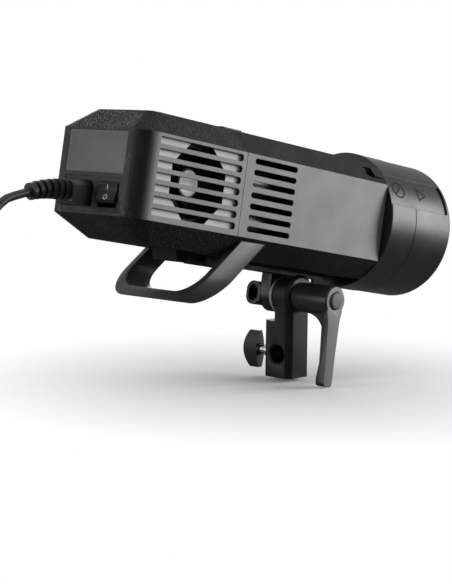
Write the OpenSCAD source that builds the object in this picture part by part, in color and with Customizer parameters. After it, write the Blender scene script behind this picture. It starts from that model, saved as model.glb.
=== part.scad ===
// Monolight strobe on a tilting stand bracket, with a clip-on mains unit and its lead.
// The origin is where the stand socket's bore begins, +Z is up, the lamp looks towards -Y,
// and the side with the plain vents is -X. Lengths are in millimetres.

/* [Head] */
// Diameter of the round head
head_d = 125; // [121:1:129]
// Length of the collar behind the cap
collar_len = 36; // [32:1:42]
// Length of the protective cap
cap_len = 56; // [52:1:64]

/* [Body] */
// Width across the two flat sides
body_w = 104; // [102:1:106]
// Height between the flat top and bottom
body_h = 105; // [103:1:107]
// Length of the body from the seam to the collar
body_len = 189; // [185:1:199]
// Thickness of the moulded walls
wall = 3; // [2.6:0.1:3.2]
// Height of one body vent slot
vent_h = 4.8; // [4:0.1:5.6]
// Length of the body vent slots
vent_len = 54; // [46:1:60]
// Distance between neighbouring vent slots
vent_pitch = 9.4; // [9:0.1:9.6]

/* [Mains unit] */
// Length of the mains unit behind the seam
mains_len = 120; // [116:1:128]
// Radius of its upright rear corners
mains_corner = 18; // [14:1:20]
// Height of one mains unit slot
grille_h = 5.7; // [5:0.1:6.3]
// Size of the square cooling fan
fan_size = 60; // [56:1:60]
// Depth of the cooling fan
fan_depth = 25; // [20:1:27]
// Width of the mains inlet flange
inlet_w = 35.4; // [34:0.1:36]
// Height of the mains inlet flange
inlet_h = 28.4; // [27:0.1:29]
// Width of the switch bezel
switch_w = 30; // [29:0.1:31]
// Height of the switch bezel
switch_h = 27.6; // [27:0.1:28.4]

/* [Bracket] */
// Nose-down tilt of the lamp as it stands
tilt = 10; // [0:1:20]
// Height of the tilt pivot above the socket mouth
pivot_z = 72; // [71:1:80]
// Distance of the pivot ahead of the seam
pivot_fwd = 133; // [126:1:136]
// Distance of the pivot below the lamp's axis
pivot_drop = 76; // [75:1:80]
// Diameter of the stand socket
socket_d = 16.2; // [15.8:0.1:16.6]
// Depth of the stand socket
socket_depth = 42; // [36:1:43]
// Side of the square receiver block
block_w = 30; // [28:1:32]
// Diameter of the pivot stud
stud_d = 10; // [8:0.5:10.5]
// Bore of the umbrella holder
umbrella_d = 10; // [8:0.5:10.5]
// Length of the clamping lever below the pivot
lever_len = 76; // [66:1:84]

/* [Handle] */
// Width of the handle strap along the lamp
strap_w = 29; // [24:1:34]
// Thickness of the handle's legs
strap_t = 6; // [5:0.5:7]
// Thickness of the handle's grip
grip_t = 8.5; // [7:0.5:10]
// Depth of the grip below the lamp's axis
handle_depth = 94.6; // [90:0.2:100]

/* [Controls] */
// Diameter of the select dial
dial_d = 25; // [22:1:26]
// Diameter of the four panel buttons
button_d = 8; // [7:0.5:9]

/* [Cord] */
// Diameter of the mains lead
cord_d = 7; // [6.4:0.1:7]
// Radius of the coil's outermost turn
coil_r = 52; // [50:1:54]

/* [Hidden] */
$fn = 64;

// Clearances: between bodies, between seated pieces, around turning fits, and past cut faces
move_gap = 0.4;
seat_gap = 0.1;
turn_gap = 0.08;
over = 1;

// Countersunk screws: head, hex key and its depth as shares of the thread's radius
head_ratio = 2;
key_ratio = 0.9;
key_depth = 0.7;

// Section of the body: an octagon whose corners lie on the head's circle
head_r = head_d / 2;
side_half = sqrt(head_r * head_r - body_w * body_w / 4);
top_half = sqrt(head_r * head_r - body_h * body_h / 4);
side_turn = atan2(body_w / 2 - top_half, body_h / 2 - side_half);
top_turn = 90 - side_turn;
inner_w = body_w / 2 - wall;
inner_h = body_h / 2 - wall;
inner_side = side_half - wall * tan(side_turn / 2);
inner_top = top_half - wall * tan(top_turn / 2);
slope_run = (inner_w - inner_top) / (inner_h - inner_side);
floor_z = -inner_h;

// Vents: as many rows as the flat side holds, their middle a little above the axis
vent_margin = 1.5;
vent_rows = floor((2 * side_half - vent_margin) / vent_pitch);
vent_mid_z = 1;
vent_start = 10;
grille_start = 4.7;
grille_end = mains_len - mains_corner - 0.6;

// Mains unit: runs of its sloped rear faces, and the fan behind its octagonal opening
top_run = 23;
bottom_run = 30;
slope_corner = 8;
thin = 0.02;
fan_y = 51.5;
baffle_t = 1.5;
duct_len = 7;
duct_wall = 2;
duct_flat = fan_size / 2 + 1;
baffle_x = baffle_t - inner_w;
baffle_half = inner_side - 3 * seat_gap;
baffle_end_gap = 2;
fan_front = baffle_x + duct_len;
fan_back = fan_front + fan_depth;
fan_bore = fan_size / 2 - 1;
fan_hub_r = 12;
fan_pin_r = 1.5;
fan_boss_t = 3;
fan_corner = 4;
fan_hole_in = 5;
fan_hole_r = 2.2;
fan_blades = 7;
fan_pitch = 38;
blade_w = 13;
blade_t = 1.6;
blade_gap = 0.6;
octagon = 8;
octagon_turn = 180 / octagon;

// Mains unit's board on two ribs, its tall parts clear of the fan
pack_board_up = 6;
pack_board_t = 1.6;
pack_board_from = 12;
pack_board_len = mains_len - 54;
pack_board_half = inner_top - 0.7;
pack_rib_w = 4;
pack_rib_x = pack_board_half - 10;
pack_board_top = floor_z + pack_board_up + pack_board_t;
transformer = [pack_board_half - 4, 30, 26];
reservoir_r = 7;
reservoir_h = 24;
reservoir_y = 58;
sink_fins = 5;
sink_pitch = 8;
sink_t = 2;
sink_w = pack_board_half - 12;
sink_h = vent_mid_z - fan_size / 2 - pack_board_top - 2.9;

// Rear face of the mains unit: centres of the inlet, the switch and the bare label recess
inlet_x = 15.3;
switch_x = -20;
socket_z = -18.5;
label_z = 15.6;
label_size = [68, 34.4];
label_deep = 0.8;
pocket_deep = 2;
flange_t = 1.5;
inlet_body = [27, 20, 20];
inlet_hole = [24.5, 16.9];
inlet_hole_deep = 16.5;
inlet_corner = 4.4;
nose_gap = 0.3;
flange_y = mains_len - pocket_deep + flange_t;
pin_size = [2, 4];
pin_len = 12;
pin_side = 7;
pin_up = 2;
pin_room = 0.2;
pin_tail = 4;
switch_body = [26.6, 22];
switch_deep = 18;
rocker_w = 21;
rocker_h = 18.6;
rocker_throw = 9;
rocker_r = 16;
rocker_in = 10;
rocker_face = 11;
rocker_back = 3;
rocker_front = 13;
rocker_hollow = 0.6;
rocker_swing = 14;
axle_r = 1.5;
rocker_y = mains_len - rocker_in;

// Head: bayonet ring in the collar's bore, reflector, tube and cap
bore_r = head_r - 6.5;
flange_r = head_r - 18.5;
collar_back = body_len;
collar_front = body_len + collar_len;
flange_deep = 4;
collar_edge = 0.8;
bayonet_r = bore_r - 6.5;
bayonet_t = 3;
bayonet_fwd = collar_front - 6;
lug_half_angle = 18;
lug_play = 2;
lug_room = 1.5;
catch_t = 3;
cap_front = collar_front + cap_len;
cap_back = collar_front + move_gap;
cap_wall = 3;
spigot_r = bayonet_r - move_gap;
spigot_wall = 2.2;
spigot_fwd = bayonet_fwd - 5;
dish_fwd = collar_back + 15;
dish_t = 1.5;
dish_hole_r = 30;
base_fwd = collar_back + 4;
tube_ring_r = 21;
tube_r = 4.5;
tube_fwd = cap_back + 16;
tube_gap_angle = 25;
tube_end = 0.4;
base_t = 10;
base_back = 4;
led_r = 12;
led_board_t = 4;
lens_r = 10;
dish_rise = 5;
dish_lip = 8;
dish_step = 3;
recess_t = 0.6;
seam_edge = 0.5;
cap_edge = 4;
cap_rim_r = head_r - 0.4;
recess_from = 17;
recess_to = 45;
slot_fwd = cap_front - 9.6;
slot_trim = 0.6;
slot_w = 4;
slot_deep = 1.6;

// Bracket stack along the pivot, from the lug on the left to the lever on the right
lug_x = 8.4;
lug_t = 12;
lug_r = 16;
washer_t = 2.4;
barrel_x = lug_x - washer_t - move_gap / 2;
barrel_r = 15.5;
flange_x = -12.2;
flange_thick = 2.8;
receiver_flange_r = 19.6;
brass_t = 1.6;
brass_r = 12.8;
hub_x = flange_x - flange_thick - brass_t - move_gap / 2;
hub_r = 13.2;
eye_bevel = 1.2;
lever_x = -55.3;
arm_t = 7;
arm_x = lever_x + arm_t;
arm_flare = [20.8, -8];
arm_top = [16, -18];
arm_mid = [12.8, -46];
arm_end = 11.4;
arm_round = 4;
arm_foot = 2.4;
foot_h = 8;
foot_slope = 12;
gusset_r = 20;
gusset_half = 4.7;
button_bore = 8;
button_r = button_bore - move_gap;
button_deep = 9;
button_out = 2;
button_len = 7.5;
button_bevel = 1;
lever_rest = -3;
plate_t = 6;
plate_right = flange_x + 0.8;
plate_left = lug_x + lug_t;
plate_back = 60;
plate_front = body_len - 19;
plate_z = -body_h / 2;
umbrella_w = 16;
umbrella_h = 21.5;
umbrella_x = lug_x + lug_t + umbrella_w / 2 - 0.4;
umbrella_low = 1;
umbrella_len = 33;
umbrella_mouth = [10.4, 14.6];
mouth_deep = 5;
web_t = 2.8;
web_deep = 4.6;
web_back = pivot_fwd + 18;
plate_screw_r = 2.5;
plate_screw_len = 12;
plate_screw_in = 8;
stud_root = lug_x + 9;
stud_tip = -40;
block_h = 50;
block_cut = 5;
block_left = block_w / 2 + 2.4;
neck_x = 2.6;
side_mouth = 1.6;
mouth_bevel = 1;
side_socket_z = 20;
screw_r = 4;
knob_x = 33;
knob_t = 16;
knob_l = 34;
knob_w = 11;
knob_boss = 2;
knob_cover = 3;
knob_dome = 5.5;
knob_bulge = 3.3;
knob_r = (knob_l * knob_l / 4 + knob_bulge * knob_bulge) / (2 * knob_bulge);
dome_r = (knob_l * knob_l / 4 + knob_dome * knob_dome) / (2 * knob_dome);
collet_r = screw_r + 1.6;
collet_x = block_left + 4;
collet_t = 3;
spigot_gap = 0.2;

// Handle: a bent strap whose edges slope back at 45 degrees under the body
strap_front = 37;
strap_top = 39;
strap_half = body_w / 2 - 3;
strap_bend = 24;
strap_screw_r = 1.8;
strap_screw_z = -side_half - 6;
strap_screw_x = strap_half - 7.5;
strap_screw_len = 5.6;
strap_screw_fwd = [strap_front - 20, strap_front - 8];
shell_screw_r = 1.6;
shell_screw_in = 6;
shell_screw_fwd = [9, body_len - 22];

// Controls on the left side: panel plate, display and round keys
panel_y = -76;
panel_side_gap = 4.42;
panel_size = [108, 2 * (inner_side - panel_side_gap)];
panel_corner = 4;
panel_lip = 2;
panel_lip_out = [6, 4];
panel_t = wall + 0.6;
display_y = -52;
display_size = [52, 0.586 * panel_size[1]];
display_z = 0.138 * panel_size[1];
display_corner = 2;
window_t = 1.5;
screen_t = 2.5;
screen_board = 3;
screen_edge = 2;
dial_y = -108;
dial_z = 0.086 * panel_size[1];
dial_h = 9;
sleeve_r = 7.5;
set_r = 5;
set_out = 1;
dial_foot = 3;
dial_flutes = 24;
flute_r = 0.8;
flute_up = 1.5;
port_r = 4.5;
port_hole_r = 1.8;
port_body = 6;
port_body_r = port_r + 1.5;
port_lip = 0.4;
port_z = -12;
port_places = [34 - body_len, 48 - body_len];
key_pitch = 13;
key_z = -0.345 * panel_size[1];
key_flange = 1.2;
key_out = 1.6;
key_flange_r = button_d / 2 + 1.5;
panel_face = inner_w + panel_t;

// Inside the body: a tray on two ribs carries the stores and boards
tray_up = 10;
tray_z = floor_z + tray_up;
tray_t = 2;
tray_side_gap = 4.8;
tray_half = inner_top + slope_run * (tray_up - tray_t) - tray_side_gap;
tray_from = 10;
tray_to = body_len - 39;
rib_w = 3;
rib_x = inner_top - 4.7;
board_t = 1.6;
board_h = 70;
board_from = 18;
board_to = body_len - 59;
can_r = (tray_half - board_t - 3 * seat_gap) / 2;
can_len = 78;
can_y = 91 - body_len;
choke_gap = 10;
choke_foot = [2 * can_r + 2, 34, 3];
choke_r = can_r - 3;
choke_h = 24;

// Rubber skids under both units
skid_half = 14;
skid_t = 9;
skid_start = 6;
skid_end = 28;
skid_step = 3;
skid_in = 6;

// Top release button and mount latch
release_size = [24, 30];
release_y = -22;
release_out = 4.6;
release_corner = 4;
release_step = 1.2;
release_edge = 4;
release_flange = 1.5;
latch_size = [11, 12];
latch_fwd = body_len - 13;
latch_pocket = [12, 22];
latch_deep = 2;
latch_corner = 1.5;
latch_out = 1;
groove_pitch = 3;
groove_w = 0.8;
latch_tail = [4, 5];
latch_tail_y = 2;
latch_slot = [5, 14];

// Contacts between the body and the mains unit
blade_places = [-14, 0, 14];
blade_size = [1.2, 7];
blade_reach = 5;
blade_root = [6, 10, 3];
contact_size = [46, 14];
contact_z = 20;
contact_deep = 9;
contact_lip = 4;
contact_low = 0.4;

// Mains lead: connector, ribbed relief bent down by the lead's weight, hanging run and tied coil
connector_len = 14;
connector_body = [29.5, 21];
connector_tail = [19, 17];
connector_flat = 6;
connector_seat = 0.2;
nose_short = 0.5;
relief_len = 38;
relief_droop = 20;
relief_ribs = 6;
rib_t = 4;
rib_low = 2.2;
rib_high = 4.2;
cord_r = cord_d / 2;
relief_core = cord_r + 0.9;
relief_arc = relief_len * 180 / (PI * relief_droop);
turn_step = cord_d + 0.8;
coil_turns = 7;
coil_steps = 24;
coil_sides = 6;
cord_sides = 8;

// Places a point of the lamp's own frame where the tilted lamp holds it
function tilted(p) = [p[0],
    (p[1] + pivot_fwd) * cos(tilt) - (p[2] + pivot_drop) * sin(tilt),
    pivot_z + (p[1] + pivot_fwd) * sin(tilt) + (p[2] + pivot_drop) * cos(tilt)];
relief_end = tilted([inlet_x, flange_y + connector_len + relief_arc * sin(relief_droop),
                     socket_z - relief_arc * (1 - cos(relief_droop))]);
lead_angle = tilt - relief_droop;
// Steps of the hanging run from the relief, along Y and down Z, after a straight start
run_steps = [[14.5, 2.6], [22, 4.4], [28, 7.9], [33.5, 12.4], [38, 18.4], [41, 24.9], [42.5, 31.9],
             [43, 39.4], [43, 47.4], [43, 56.4], [43, 65.4], [43, 74.4], [43, 83.4]];
run_out = 43;
run_down = 83.4;
run_points = concat([relief_end, relief_end + cord_d * [0, cos(lead_angle), sin(lead_angle)]],
    [for (s = run_steps) relief_end + [0, s[0], -s[1]]]);
coil_centre = relief_end + [0, run_out + coil_r, -run_down - cord_d];
coil_tail = 17;
plug_len = 32;
plug_relief = 18;
plug_flare = 2;
plug_rib = 2.4;
plug_rib_t = 1.6;
plug_ribs = 4;
plug_w = 26;
plug_t = 18;
plug_corner = 6;
blade_pin = [1.6, 6.4, 16];
blade_pin_x = 6.4;
blade_pin_y = -2.4;
earth_d = 4.8;
earth_len = 18;
earth_y = 5;
tie_w = 12;
tie_t = 1.2;
tie_gap = 0.6;

// Distance from the middle and layer along the coil: in at a steady rate, over, and out again
function coil_radius(t) = coil_r - turn_step * min(t, coil_turns - t);
function coil_layer(t) = turn_step * max(0, min(1, (t - coil_turns / 2 + 0.25) * 2));
function coil_point(t) = coil_centre + [coil_layer(t), -coil_radius(t) * cos(360 * t),
                                        -coil_radius(t) * sin(360 * t)];
coil_count = coil_turns * coil_steps;
coil_points = concat([coil_point(0) + [0, 0, cord_d]],
    [for (i = [0 : coil_count]) coil_point(i / coil_steps)],
    [coil_point(coil_turns) - [0, 0, coil_tail]]);
coil_end = coil_points[coil_count + 2];
coil_gap = min([for (i = [0 : coil_count + 2]) for (j = [i + coil_steps / 2 : 1 : coil_count + 2])
    norm(coil_points[i] - coil_points[j])]) - cord_d;
echo(least_gap_in_coil = coil_gap);

// One unbroken tube of a given radius and number of sides along a list of points
function unit(v) = v / norm(v);
function heading(p, i) = unit(p[min(i + 1, len(p) - 1)] - p[max(i - 1, 0)]);
function across(t) = unit([1, 0, 0] - t[0] * t);
module swept_tube(p, r, sides) {
    n = len(p);
    rings = [for (i = [0 : n - 1]) let (t = heading(p, i), u = across(t), v = cross(t, u))
        for (k = [0 : sides - 1]) p[i] + r * (cos(360 * k / sides) * u + sin(360 * k / sides) * v)];
    walls = [for (i = [0 : n - 2]) for (k = [0 : sides - 1]) let (a = i * sides, b = (k + 1) % sides)
        each [[a + k, a + sides + k, a + sides + b], [a + k, a + sides + b, a + b]]];
    caps = [for (k = [1 : sides - 2]) each [[0, k, k + 1],
        [(n - 1) * sides, (n - 1) * sides + k + 1, (n - 1) * sides + k]]];
    polyhedron(rings, concat(walls, caps));
}

// Frame of the tilted lamp
module lamp() {
    translate([0, 0, pivot_z]) rotate([tilt, 0, 0]) translate([0, pivot_fwd, pivot_drop]) children();
}
// Solid of revolution about the lamp's axis, drawn as radius and distance ahead of the seam
module revolved() {
    rotate([90, 0, 0]) rotate_extrude($fn = 128) children();
}
// Round bar along the lamp's axis between two distances ahead of the seam
module axis_bar(r, fwd0, fwd1) {
    translate([0, -fwd0, 0]) rotate([90, 0, 0]) cylinder(r = r, h = fwd1 - fwd0);
}
// Round bar across the lamp between two places along X
module cross_bar(r, x0, x1) {
    translate([min(x0, x1), 0, 0]) rotate([0, 90, 0]) cylinder(r = r, h = abs(x1 - x0));
}
// Plate drawn in Y and Z, between two places along X
module side_plate(x0, x1) {
    translate([x0, 0, 0]) rotate([90, 0, 90]) linear_extrude(x1 - x0) children();
}
// Plate drawn in X and Z, between two places along Y
module rear_plate(y0, y1) {
    translate([0, y1, 0]) rotate([90, 0, 0]) linear_extrude(y1 - y0) children();
}
// Box from its middle in X and Z, standing between two places along Y
module rear_box(x, z, size, y0, y1) {
    translate([x - size[0] / 2, y0, z - size[1] / 2]) cube([size[0], y1 - y0, size[1]]);
}
// Slot outline with round ends, centred
module stadium(length, height) {
    square([length - height, height], center = true);
    for (s = [-1, 1]) translate([s * (length - height) / 2, 0]) circle(d = height, $fn = 32);
}
// Rectangle with round corners, centred
module rounded(w, h, r) {
    square([w - 2 * r, h], center = true);
    square([w, h - 2 * r], center = true);
    for (x = [-1, 1]) for (z = [-1, 1])
        translate([x * (w / 2 - r), z * (h / 2 - r)]) circle(r = r, $fn = 32);
}
// Octagonal section of the body, drawn in by a wall thickness
module section(inset) {
    w = body_w / 2 - inset;
    h = body_h / 2 - inset;
    s = side_half - inset * tan(side_turn / 2);
    t = top_half - inset * tan(top_turn / 2);
    polygon([[w, -s], [w, s], [t, h], [-t, h], [-w, s], [-w, -s], [-t, -h], [t, -h]]);
}
// Row of vent slots cut through one side wall, with square or round rear ends
module vent_cut(x, y0, y1, height, squared) {
    for (i = [0 : vent_rows - 1])
        translate([0, (y0 + y1) / 2, vent_mid_z + (i - (vent_rows - 1) / 2) * vent_pitch])
            side_plate(x - wall - over, x + wall + over) {
                stadium(y1 - y0, height);
                if (squared) translate([0, -height / 2]) square([(y1 - y0) / 2, height]);
            }
}
// Countersunk screw along Z, its head's face at the origin and its thread going up
module screw(r, length) {
    difference() {
        union() {
            cylinder(r1 = head_ratio * r, r2 = r, h = r);
            translate([0, 0, r]) cylinder(r = r, h = length - r);
        }
        translate([0, 0, -over]) cylinder(r = key_ratio * r, h = over + key_depth * r, $fn = 6);
    }
}
// Hole that such a screw sits in
module screw_hole(r, length) {
    translate([0, 0, -over]) cylinder(r = head_ratio * r + seat_gap, h = over);
    cylinder(r1 = head_ratio * r + seat_gap, r2 = r + seat_gap, h = r);
    translate([0, 0, r - seat_gap]) cylinder(r = r + seat_gap, h = length - r + over);
}

// Plan of the receiver's block, its upright edges cut off
module block_plan() {
    half = block_w / 2;
    polygon([[block_left - block_cut, -half], [block_left, block_cut - half], [block_left, half - block_cut],
        [block_left - block_cut, half], [block_cut - half, half], [-half, half - block_cut],
        [-half, block_cut - half], [block_cut - half, -half]]);
}
// Stand receiver with its upright and rear sockets, clamp screw hole and pivot bore
module stand_receiver() {
    half = block_w / 2;
    color("#2b2c2e") difference() {
        union() {
            translate([0, 0, -mouth_bevel]) linear_extrude(block_h + mouth_bevel) block_plan();
            linear_extrude(pivot_z) intersection() {
                block_plan();
                translate([-block_w, -block_w]) square([block_w + neck_x, 2 * block_w]);
            }
            translate([0, 0, pivot_z]) {
                cross_bar(barrel_r, flange_x, barrel_x);
                translate([flange_x - flange_thick, 0, 0]) rotate([0, 90, 0])
                    cylinder(r1 = receiver_flange_r - flange_thick, r2 = receiver_flange_r, h = flange_thick);
            }
        }
        cylinder(d = socket_d, h = socket_depth);
        translate([0, 0, -mouth_bevel - over])
            cylinder(d1 = socket_d + 2 * (mouth_bevel + over), d2 = socket_d, h = mouth_bevel + over);
        translate([0, half + over, side_socket_z]) rotate([90, 0, 0])
            cylinder(d = socket_d, h = half + over);
        translate([0, half - side_mouth, side_socket_z]) rotate([-90, 0, 0])
            cylinder(d1 = socket_d, d2 = socket_d + 2 * (side_mouth + over), h = side_mouth + over);
        translate([0, 0, side_socket_z]) cross_bar(screw_r + turn_gap, 0, block_left + over);
        translate([0, 0, pivot_z])
            cross_bar(stud_d / 2 + turn_gap, flange_x - flange_thick - over, barrel_x + over);
    }
}
// Brass washer between the receiver and the lever's hub
module brass_washer() {
    color("#b08d4a") translate([0, 0, pivot_z]) difference() {
        cross_bar(brass_r, flange_x - flange_thick, flange_x - flange_thick - brass_t);
        cross_bar(stud_d / 2 + turn_gap, flange_x - flange_thick - brass_t - over, 0);
    }
}
// Grip of the clamp screw: an upright bar with a domed outer side and a round boss
module knob_bar() {
    color("#1f2022") translate([0, 0, side_socket_z]) difference() {
        intersection() {
            union() {
                cross_bar(knob_w / 2, knob_x - knob_boss, knob_x + knob_t);
                side_plate(knob_x, knob_x + knob_t) intersection() {
                    square([knob_w, knob_l], center = true);
                    translate([knob_w / 2 - knob_r, 0]) circle(r = knob_r, $fn = 128);
                    translate([knob_r - knob_w / 2, 0]) circle(r = knob_r, $fn = 128);
                }
            }
            translate([knob_x + knob_t - dome_r, 0, 0]) rotate([90, 0, 0])
                cylinder(r = dome_r, h = 2 * knob_l, center = true, $fn = 128);
        }
        cross_bar(screw_r, knob_x - knob_boss - over, knob_x + knob_t - knob_cover);
    }
}
// Clamp screw that reaches the stand's spigot, with a collet in front of the grip
module knob_screw() {
    color("#c9cacc") translate([0, 0, side_socket_z]) {
        cross_bar(screw_r, socket_d / 2 + spigot_gap, knob_x + knob_t - knob_cover);
        cross_bar(collet_r, collet_x, collet_x + collet_t);
    }
}
// Plate under the body with the pivot lug and the umbrella holder
module tilt_bracket() {
    color("#303133") lamp() difference() {
        union() {
            translate([plate_right, -plate_front, plate_z - plate_t])
                cube([plate_left - plate_right, plate_front - plate_back, plate_t]);
            translate([plate_right, -plate_front, plate_z - plate_t - web_deep])
                cube([web_t, plate_front - web_back, web_deep + over]);
            translate([0, -pivot_fwd, -pivot_drop]) {
                cross_bar(lug_r, lug_x, plate_left);
                translate([lug_x, -lug_r, 0])
                    cube([lug_t, 2 * lug_r, pivot_drop + plate_z - plate_t / 2]);
                translate([umbrella_x, 0, -umbrella_low]) {
                    rear_plate(-umbrella_len / 2, umbrella_len / 2)
                        rotate(90) stadium(umbrella_h, umbrella_w);
                    rear_plate(-umbrella_len / 2, umbrella_len / 2)
                        translate([plate_left - over - umbrella_x, -umbrella_w / 2])
                            square([umbrella_x + over - plate_left, umbrella_w]);
                }
            }
        }
        translate([umbrella_x, -pivot_fwd, -pivot_drop - umbrella_low]) {
            rotate([90, 0, 0]) cylinder(d = umbrella_d, h = umbrella_len + 2 * over, center = true);
            rear_plate(umbrella_len / 2 - mouth_deep, umbrella_len / 2 + over)
                rotate(90) stadium(umbrella_mouth[1], umbrella_mouth[0]);
        }
        translate([0, -pivot_fwd, -pivot_drop])
            cross_bar(stud_d / 2 + turn_gap, lug_x - over, stud_root);
        bracket_screw_places() screw_hole(plate_screw_r, plate_screw_len);
    }
}
// Places of the four bracket screws under the plate
module bracket_screw_places() {
    for (x = [plate_right + plate_screw_in, plate_left - plate_screw_in])
        for (f = [plate_back + plate_screw_in, plate_front - plate_screw_in])
            translate([x, -f, plate_z - plate_t]) children();
}
module bracket_screws() {
    color("#8d8f92") lamp() bracket_screw_places() screw(plate_screw_r, plate_screw_len);
}
// Stud pressed into the lug, on which the receiver and the lever turn
module pivot_stud() {
    color("#b9babd") lamp() translate([0, -pivot_fwd, -pivot_drop])
        cross_bar(stud_d / 2, stud_tip, stud_root);
}
// Grey friction washer between the lug and the receiver
module friction_washer() {
    color("#8b8d90") lamp() translate([0, -pivot_fwd, -pivot_drop]) difference() {
        cross_bar(lug_r + move_gap, lug_x - washer_t, lug_x);
        cross_bar(stud_d / 2 + turn_gap, lug_x - washer_t - over, lug_x + over);
    }
}

// Carrying handle: a strap bent to a U, its ends cut to lie on the lower slopes
module carry_handle() {
    reach = 2 * handle_depth;
    color("#2e2f31") lamp() difference() {
        intersection() {
            rear_plate(-reach, reach) difference() {
                handle_outline(strap_half, handle_depth, strap_bend);
                handle_outline(strap_half - strap_t, handle_depth - grip_t, strap_bend - strap_t);
            }
            side_plate(-body_w, body_w) translate([-strap_front, -strap_top])
                polygon([[-strap_top, strap_top], [strap_w - strap_top, strap_top],
                    [strap_w + reach, -reach], [reach, -reach]]);
        }
        rear_plate(-body_len, 0) section(0);
        handle_screw_places() screw_hole(strap_screw_r, strap_screw_len);
    }
}
// Half-open outline of the U in X and Z, round at its lower corners
module handle_outline(half, depth, bend) {
    translate([-half, bend - depth]) square([2 * half, depth - bend]);
    translate([bend - half, -depth]) square([2 * (half - bend), bend + over]);
    for (s = [-1, 1]) translate([s * (half - bend), bend - depth]) circle(r = bend);
}
// Screws that come from inside the body into the strap's ends
module handle_screw_places() {
    for (s = [-1, 1]) for (f = strap_screw_fwd)
        translate([s * strap_screw_x, -f, strap_screw_z]) rotate([0, s * 90, 0]) children();
}
module handle_screws() {
    color("#8d8f92") lamp() handle_screw_places() screw(strap_screw_r, strap_screw_len);
}

// Both halves of the body's housing, with vents, panel opening and fittings cut through
module housing() {
    difference() {
        rear_plate(-body_len, 0) section(0);
        rear_plate(-body_len - over, -wall) section(wall);
        vent_cut(-body_w / 2, -vent_start - vent_len, -vent_start, vent_h, false);
        translate([0, panel_y, 0]) side_plate(inner_w - over, body_w / 2 + over)
            rounded(panel_size[0] + 2 * seat_gap, panel_size[1] + 2 * seat_gap, panel_corner);
        translate([0, release_y, body_h / 2 - wall - over]) linear_extrude(wall + 2 * over)
            rounded(release_size[0] + 2 * move_gap, release_size[1] + 2 * move_gap,
                release_corner + move_gap);
        latch_place() latch_cut();
        contact_window();
        for (p = port_places) port_place(p)
            cylinder(r = port_r + seat_gap, h = wall + 2 * over, center = true);
        bracket_screw_places() screw_hole(plate_screw_r, plate_screw_len);
        handle_screw_places() screw_hole(strap_screw_r, strap_screw_len);
        housing_screw_places() screw_hole(shell_screw_r, wall);
    }
}
module housing_half(side) {
    intersection() {
        housing();
        translate([side > 0 ? 0 : -body_w, -body_len - over, -body_h])
            cube([body_w, body_len + 2 * over, 2 * body_h]);
    }
}
module housing_right() {
    color("#3a3b3d") lamp() housing_half(-1);
}
module housing_left() {
    color("#3a3b3d") lamp() housing_half(1);
}
// Four screws in the left half, clear of the panel
module housing_screw_places() {
    for (f = shell_screw_fwd) for (z = [-1, 1])
        translate([body_w / 2, -f, z * (side_half - shell_screw_in)]) rotate([0, -90, 0]) children();
}
module housing_screws() {
    color("#55575a") lamp() housing_screw_places() screw(shell_screw_r, wall);
}
// Sync and data sockets ahead of the panel
module port_place(y) {
    translate([body_w / 2 - wall / 2, y, port_z]) rotate([0, 90, 0]) children();
}
module port_sockets() {
    color("#17181a") lamp() for (p = port_places) port_place(p) difference() {
        union() {
            cylinder(r = port_r, h = wall + port_lip, center = true);
            translate([0, 0, -wall / 2 - port_body]) cylinder(r = port_body_r, h = port_body);
        }
        cylinder(r = port_hole_r, h = port_body + 2 * over, center = true);
    }
}

// Round collar on the body's front, with a flange behind and a raised index pad
module front_collar() {
    color("#2a2b2d") lamp() difference() {
        revolved() polygon([[flange_r, collar_back], [flange_r, collar_back + flange_deep],
            [bore_r, collar_back + flange_deep], [bore_r, collar_front], [head_r - seam_edge, collar_front],
            [head_r, collar_front - seam_edge], [head_r, collar_back + collar_edge],
            [head_r - collar_edge, collar_back]]);
        index_recess(head_r - recess_t, head_r + over, collar_back - over, collar_front + over, 0);
    }
}
// Sector above the side crease, between two radii and two distances ahead of the seam
module index_recess(r0, r1, fwd0, fwd1, trim) {
    from = recess_from + trim;
    to = recess_to - trim;
    translate([0, -fwd0, 0]) rotate([90, 0, 0]) linear_extrude(fwd1 - fwd0) intersection() {
        difference() {
            circle(r = r1, $fn = 128);
            circle(r = r0, $fn = 128);
        }
        polygon([[0, 0], 2 * r1 * [-cos(from), sin(from)], 2 * r1 * [-cos(to), sin(to)]]);
    }
}
// Metal bayonet ring with three notches for an accessory's lugs
module bayonet_ring() {
    color("#9a9b9d") lamp() difference() {
        revolved() translate([bayonet_r, bayonet_fwd]) square([bore_r - bayonet_r, bayonet_t]);
        lug_sectors(lug_half_angle + lug_play, bore_r - lug_room, bayonet_fwd - over,
            bayonet_fwd + bayonet_t + over);
    }
}
// Three sectors about the axis, out to a radius and between two distances ahead of the seam
module lug_sectors(half_angle, r, fwd0, fwd1) {
    for (i = [0 : 2]) translate([0, -fwd0, 0]) rotate([90, 120 * i, 0])
        linear_extrude(fwd1 - fwd0) intersection() {
            circle(r = r);
            polygon([[0, 0], [2 * r * sin(half_angle), 2 * r * cos(half_angle)],
                [-2 * r * sin(half_angle), 2 * r * cos(half_angle)]]);
        }
}
// Shallow polished dish behind the tube
module front_reflector() {
    low = collar_back + dish_rise;
    rim = bore_r - seat_gap;
    color("#d6d7d8") lamp() revolved() polygon([[dish_hole_r, low], [dish_hole_r + dish_step, low],
        [rim - dish_lip, dish_fwd], [rim, dish_fwd], [rim, dish_fwd + dish_t],
        [rim - dish_lip - over, dish_fwd + dish_t], [dish_hole_r + dish_step - over, low + dish_t],
        [dish_hole_r, low + dish_t]]);
}
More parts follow.
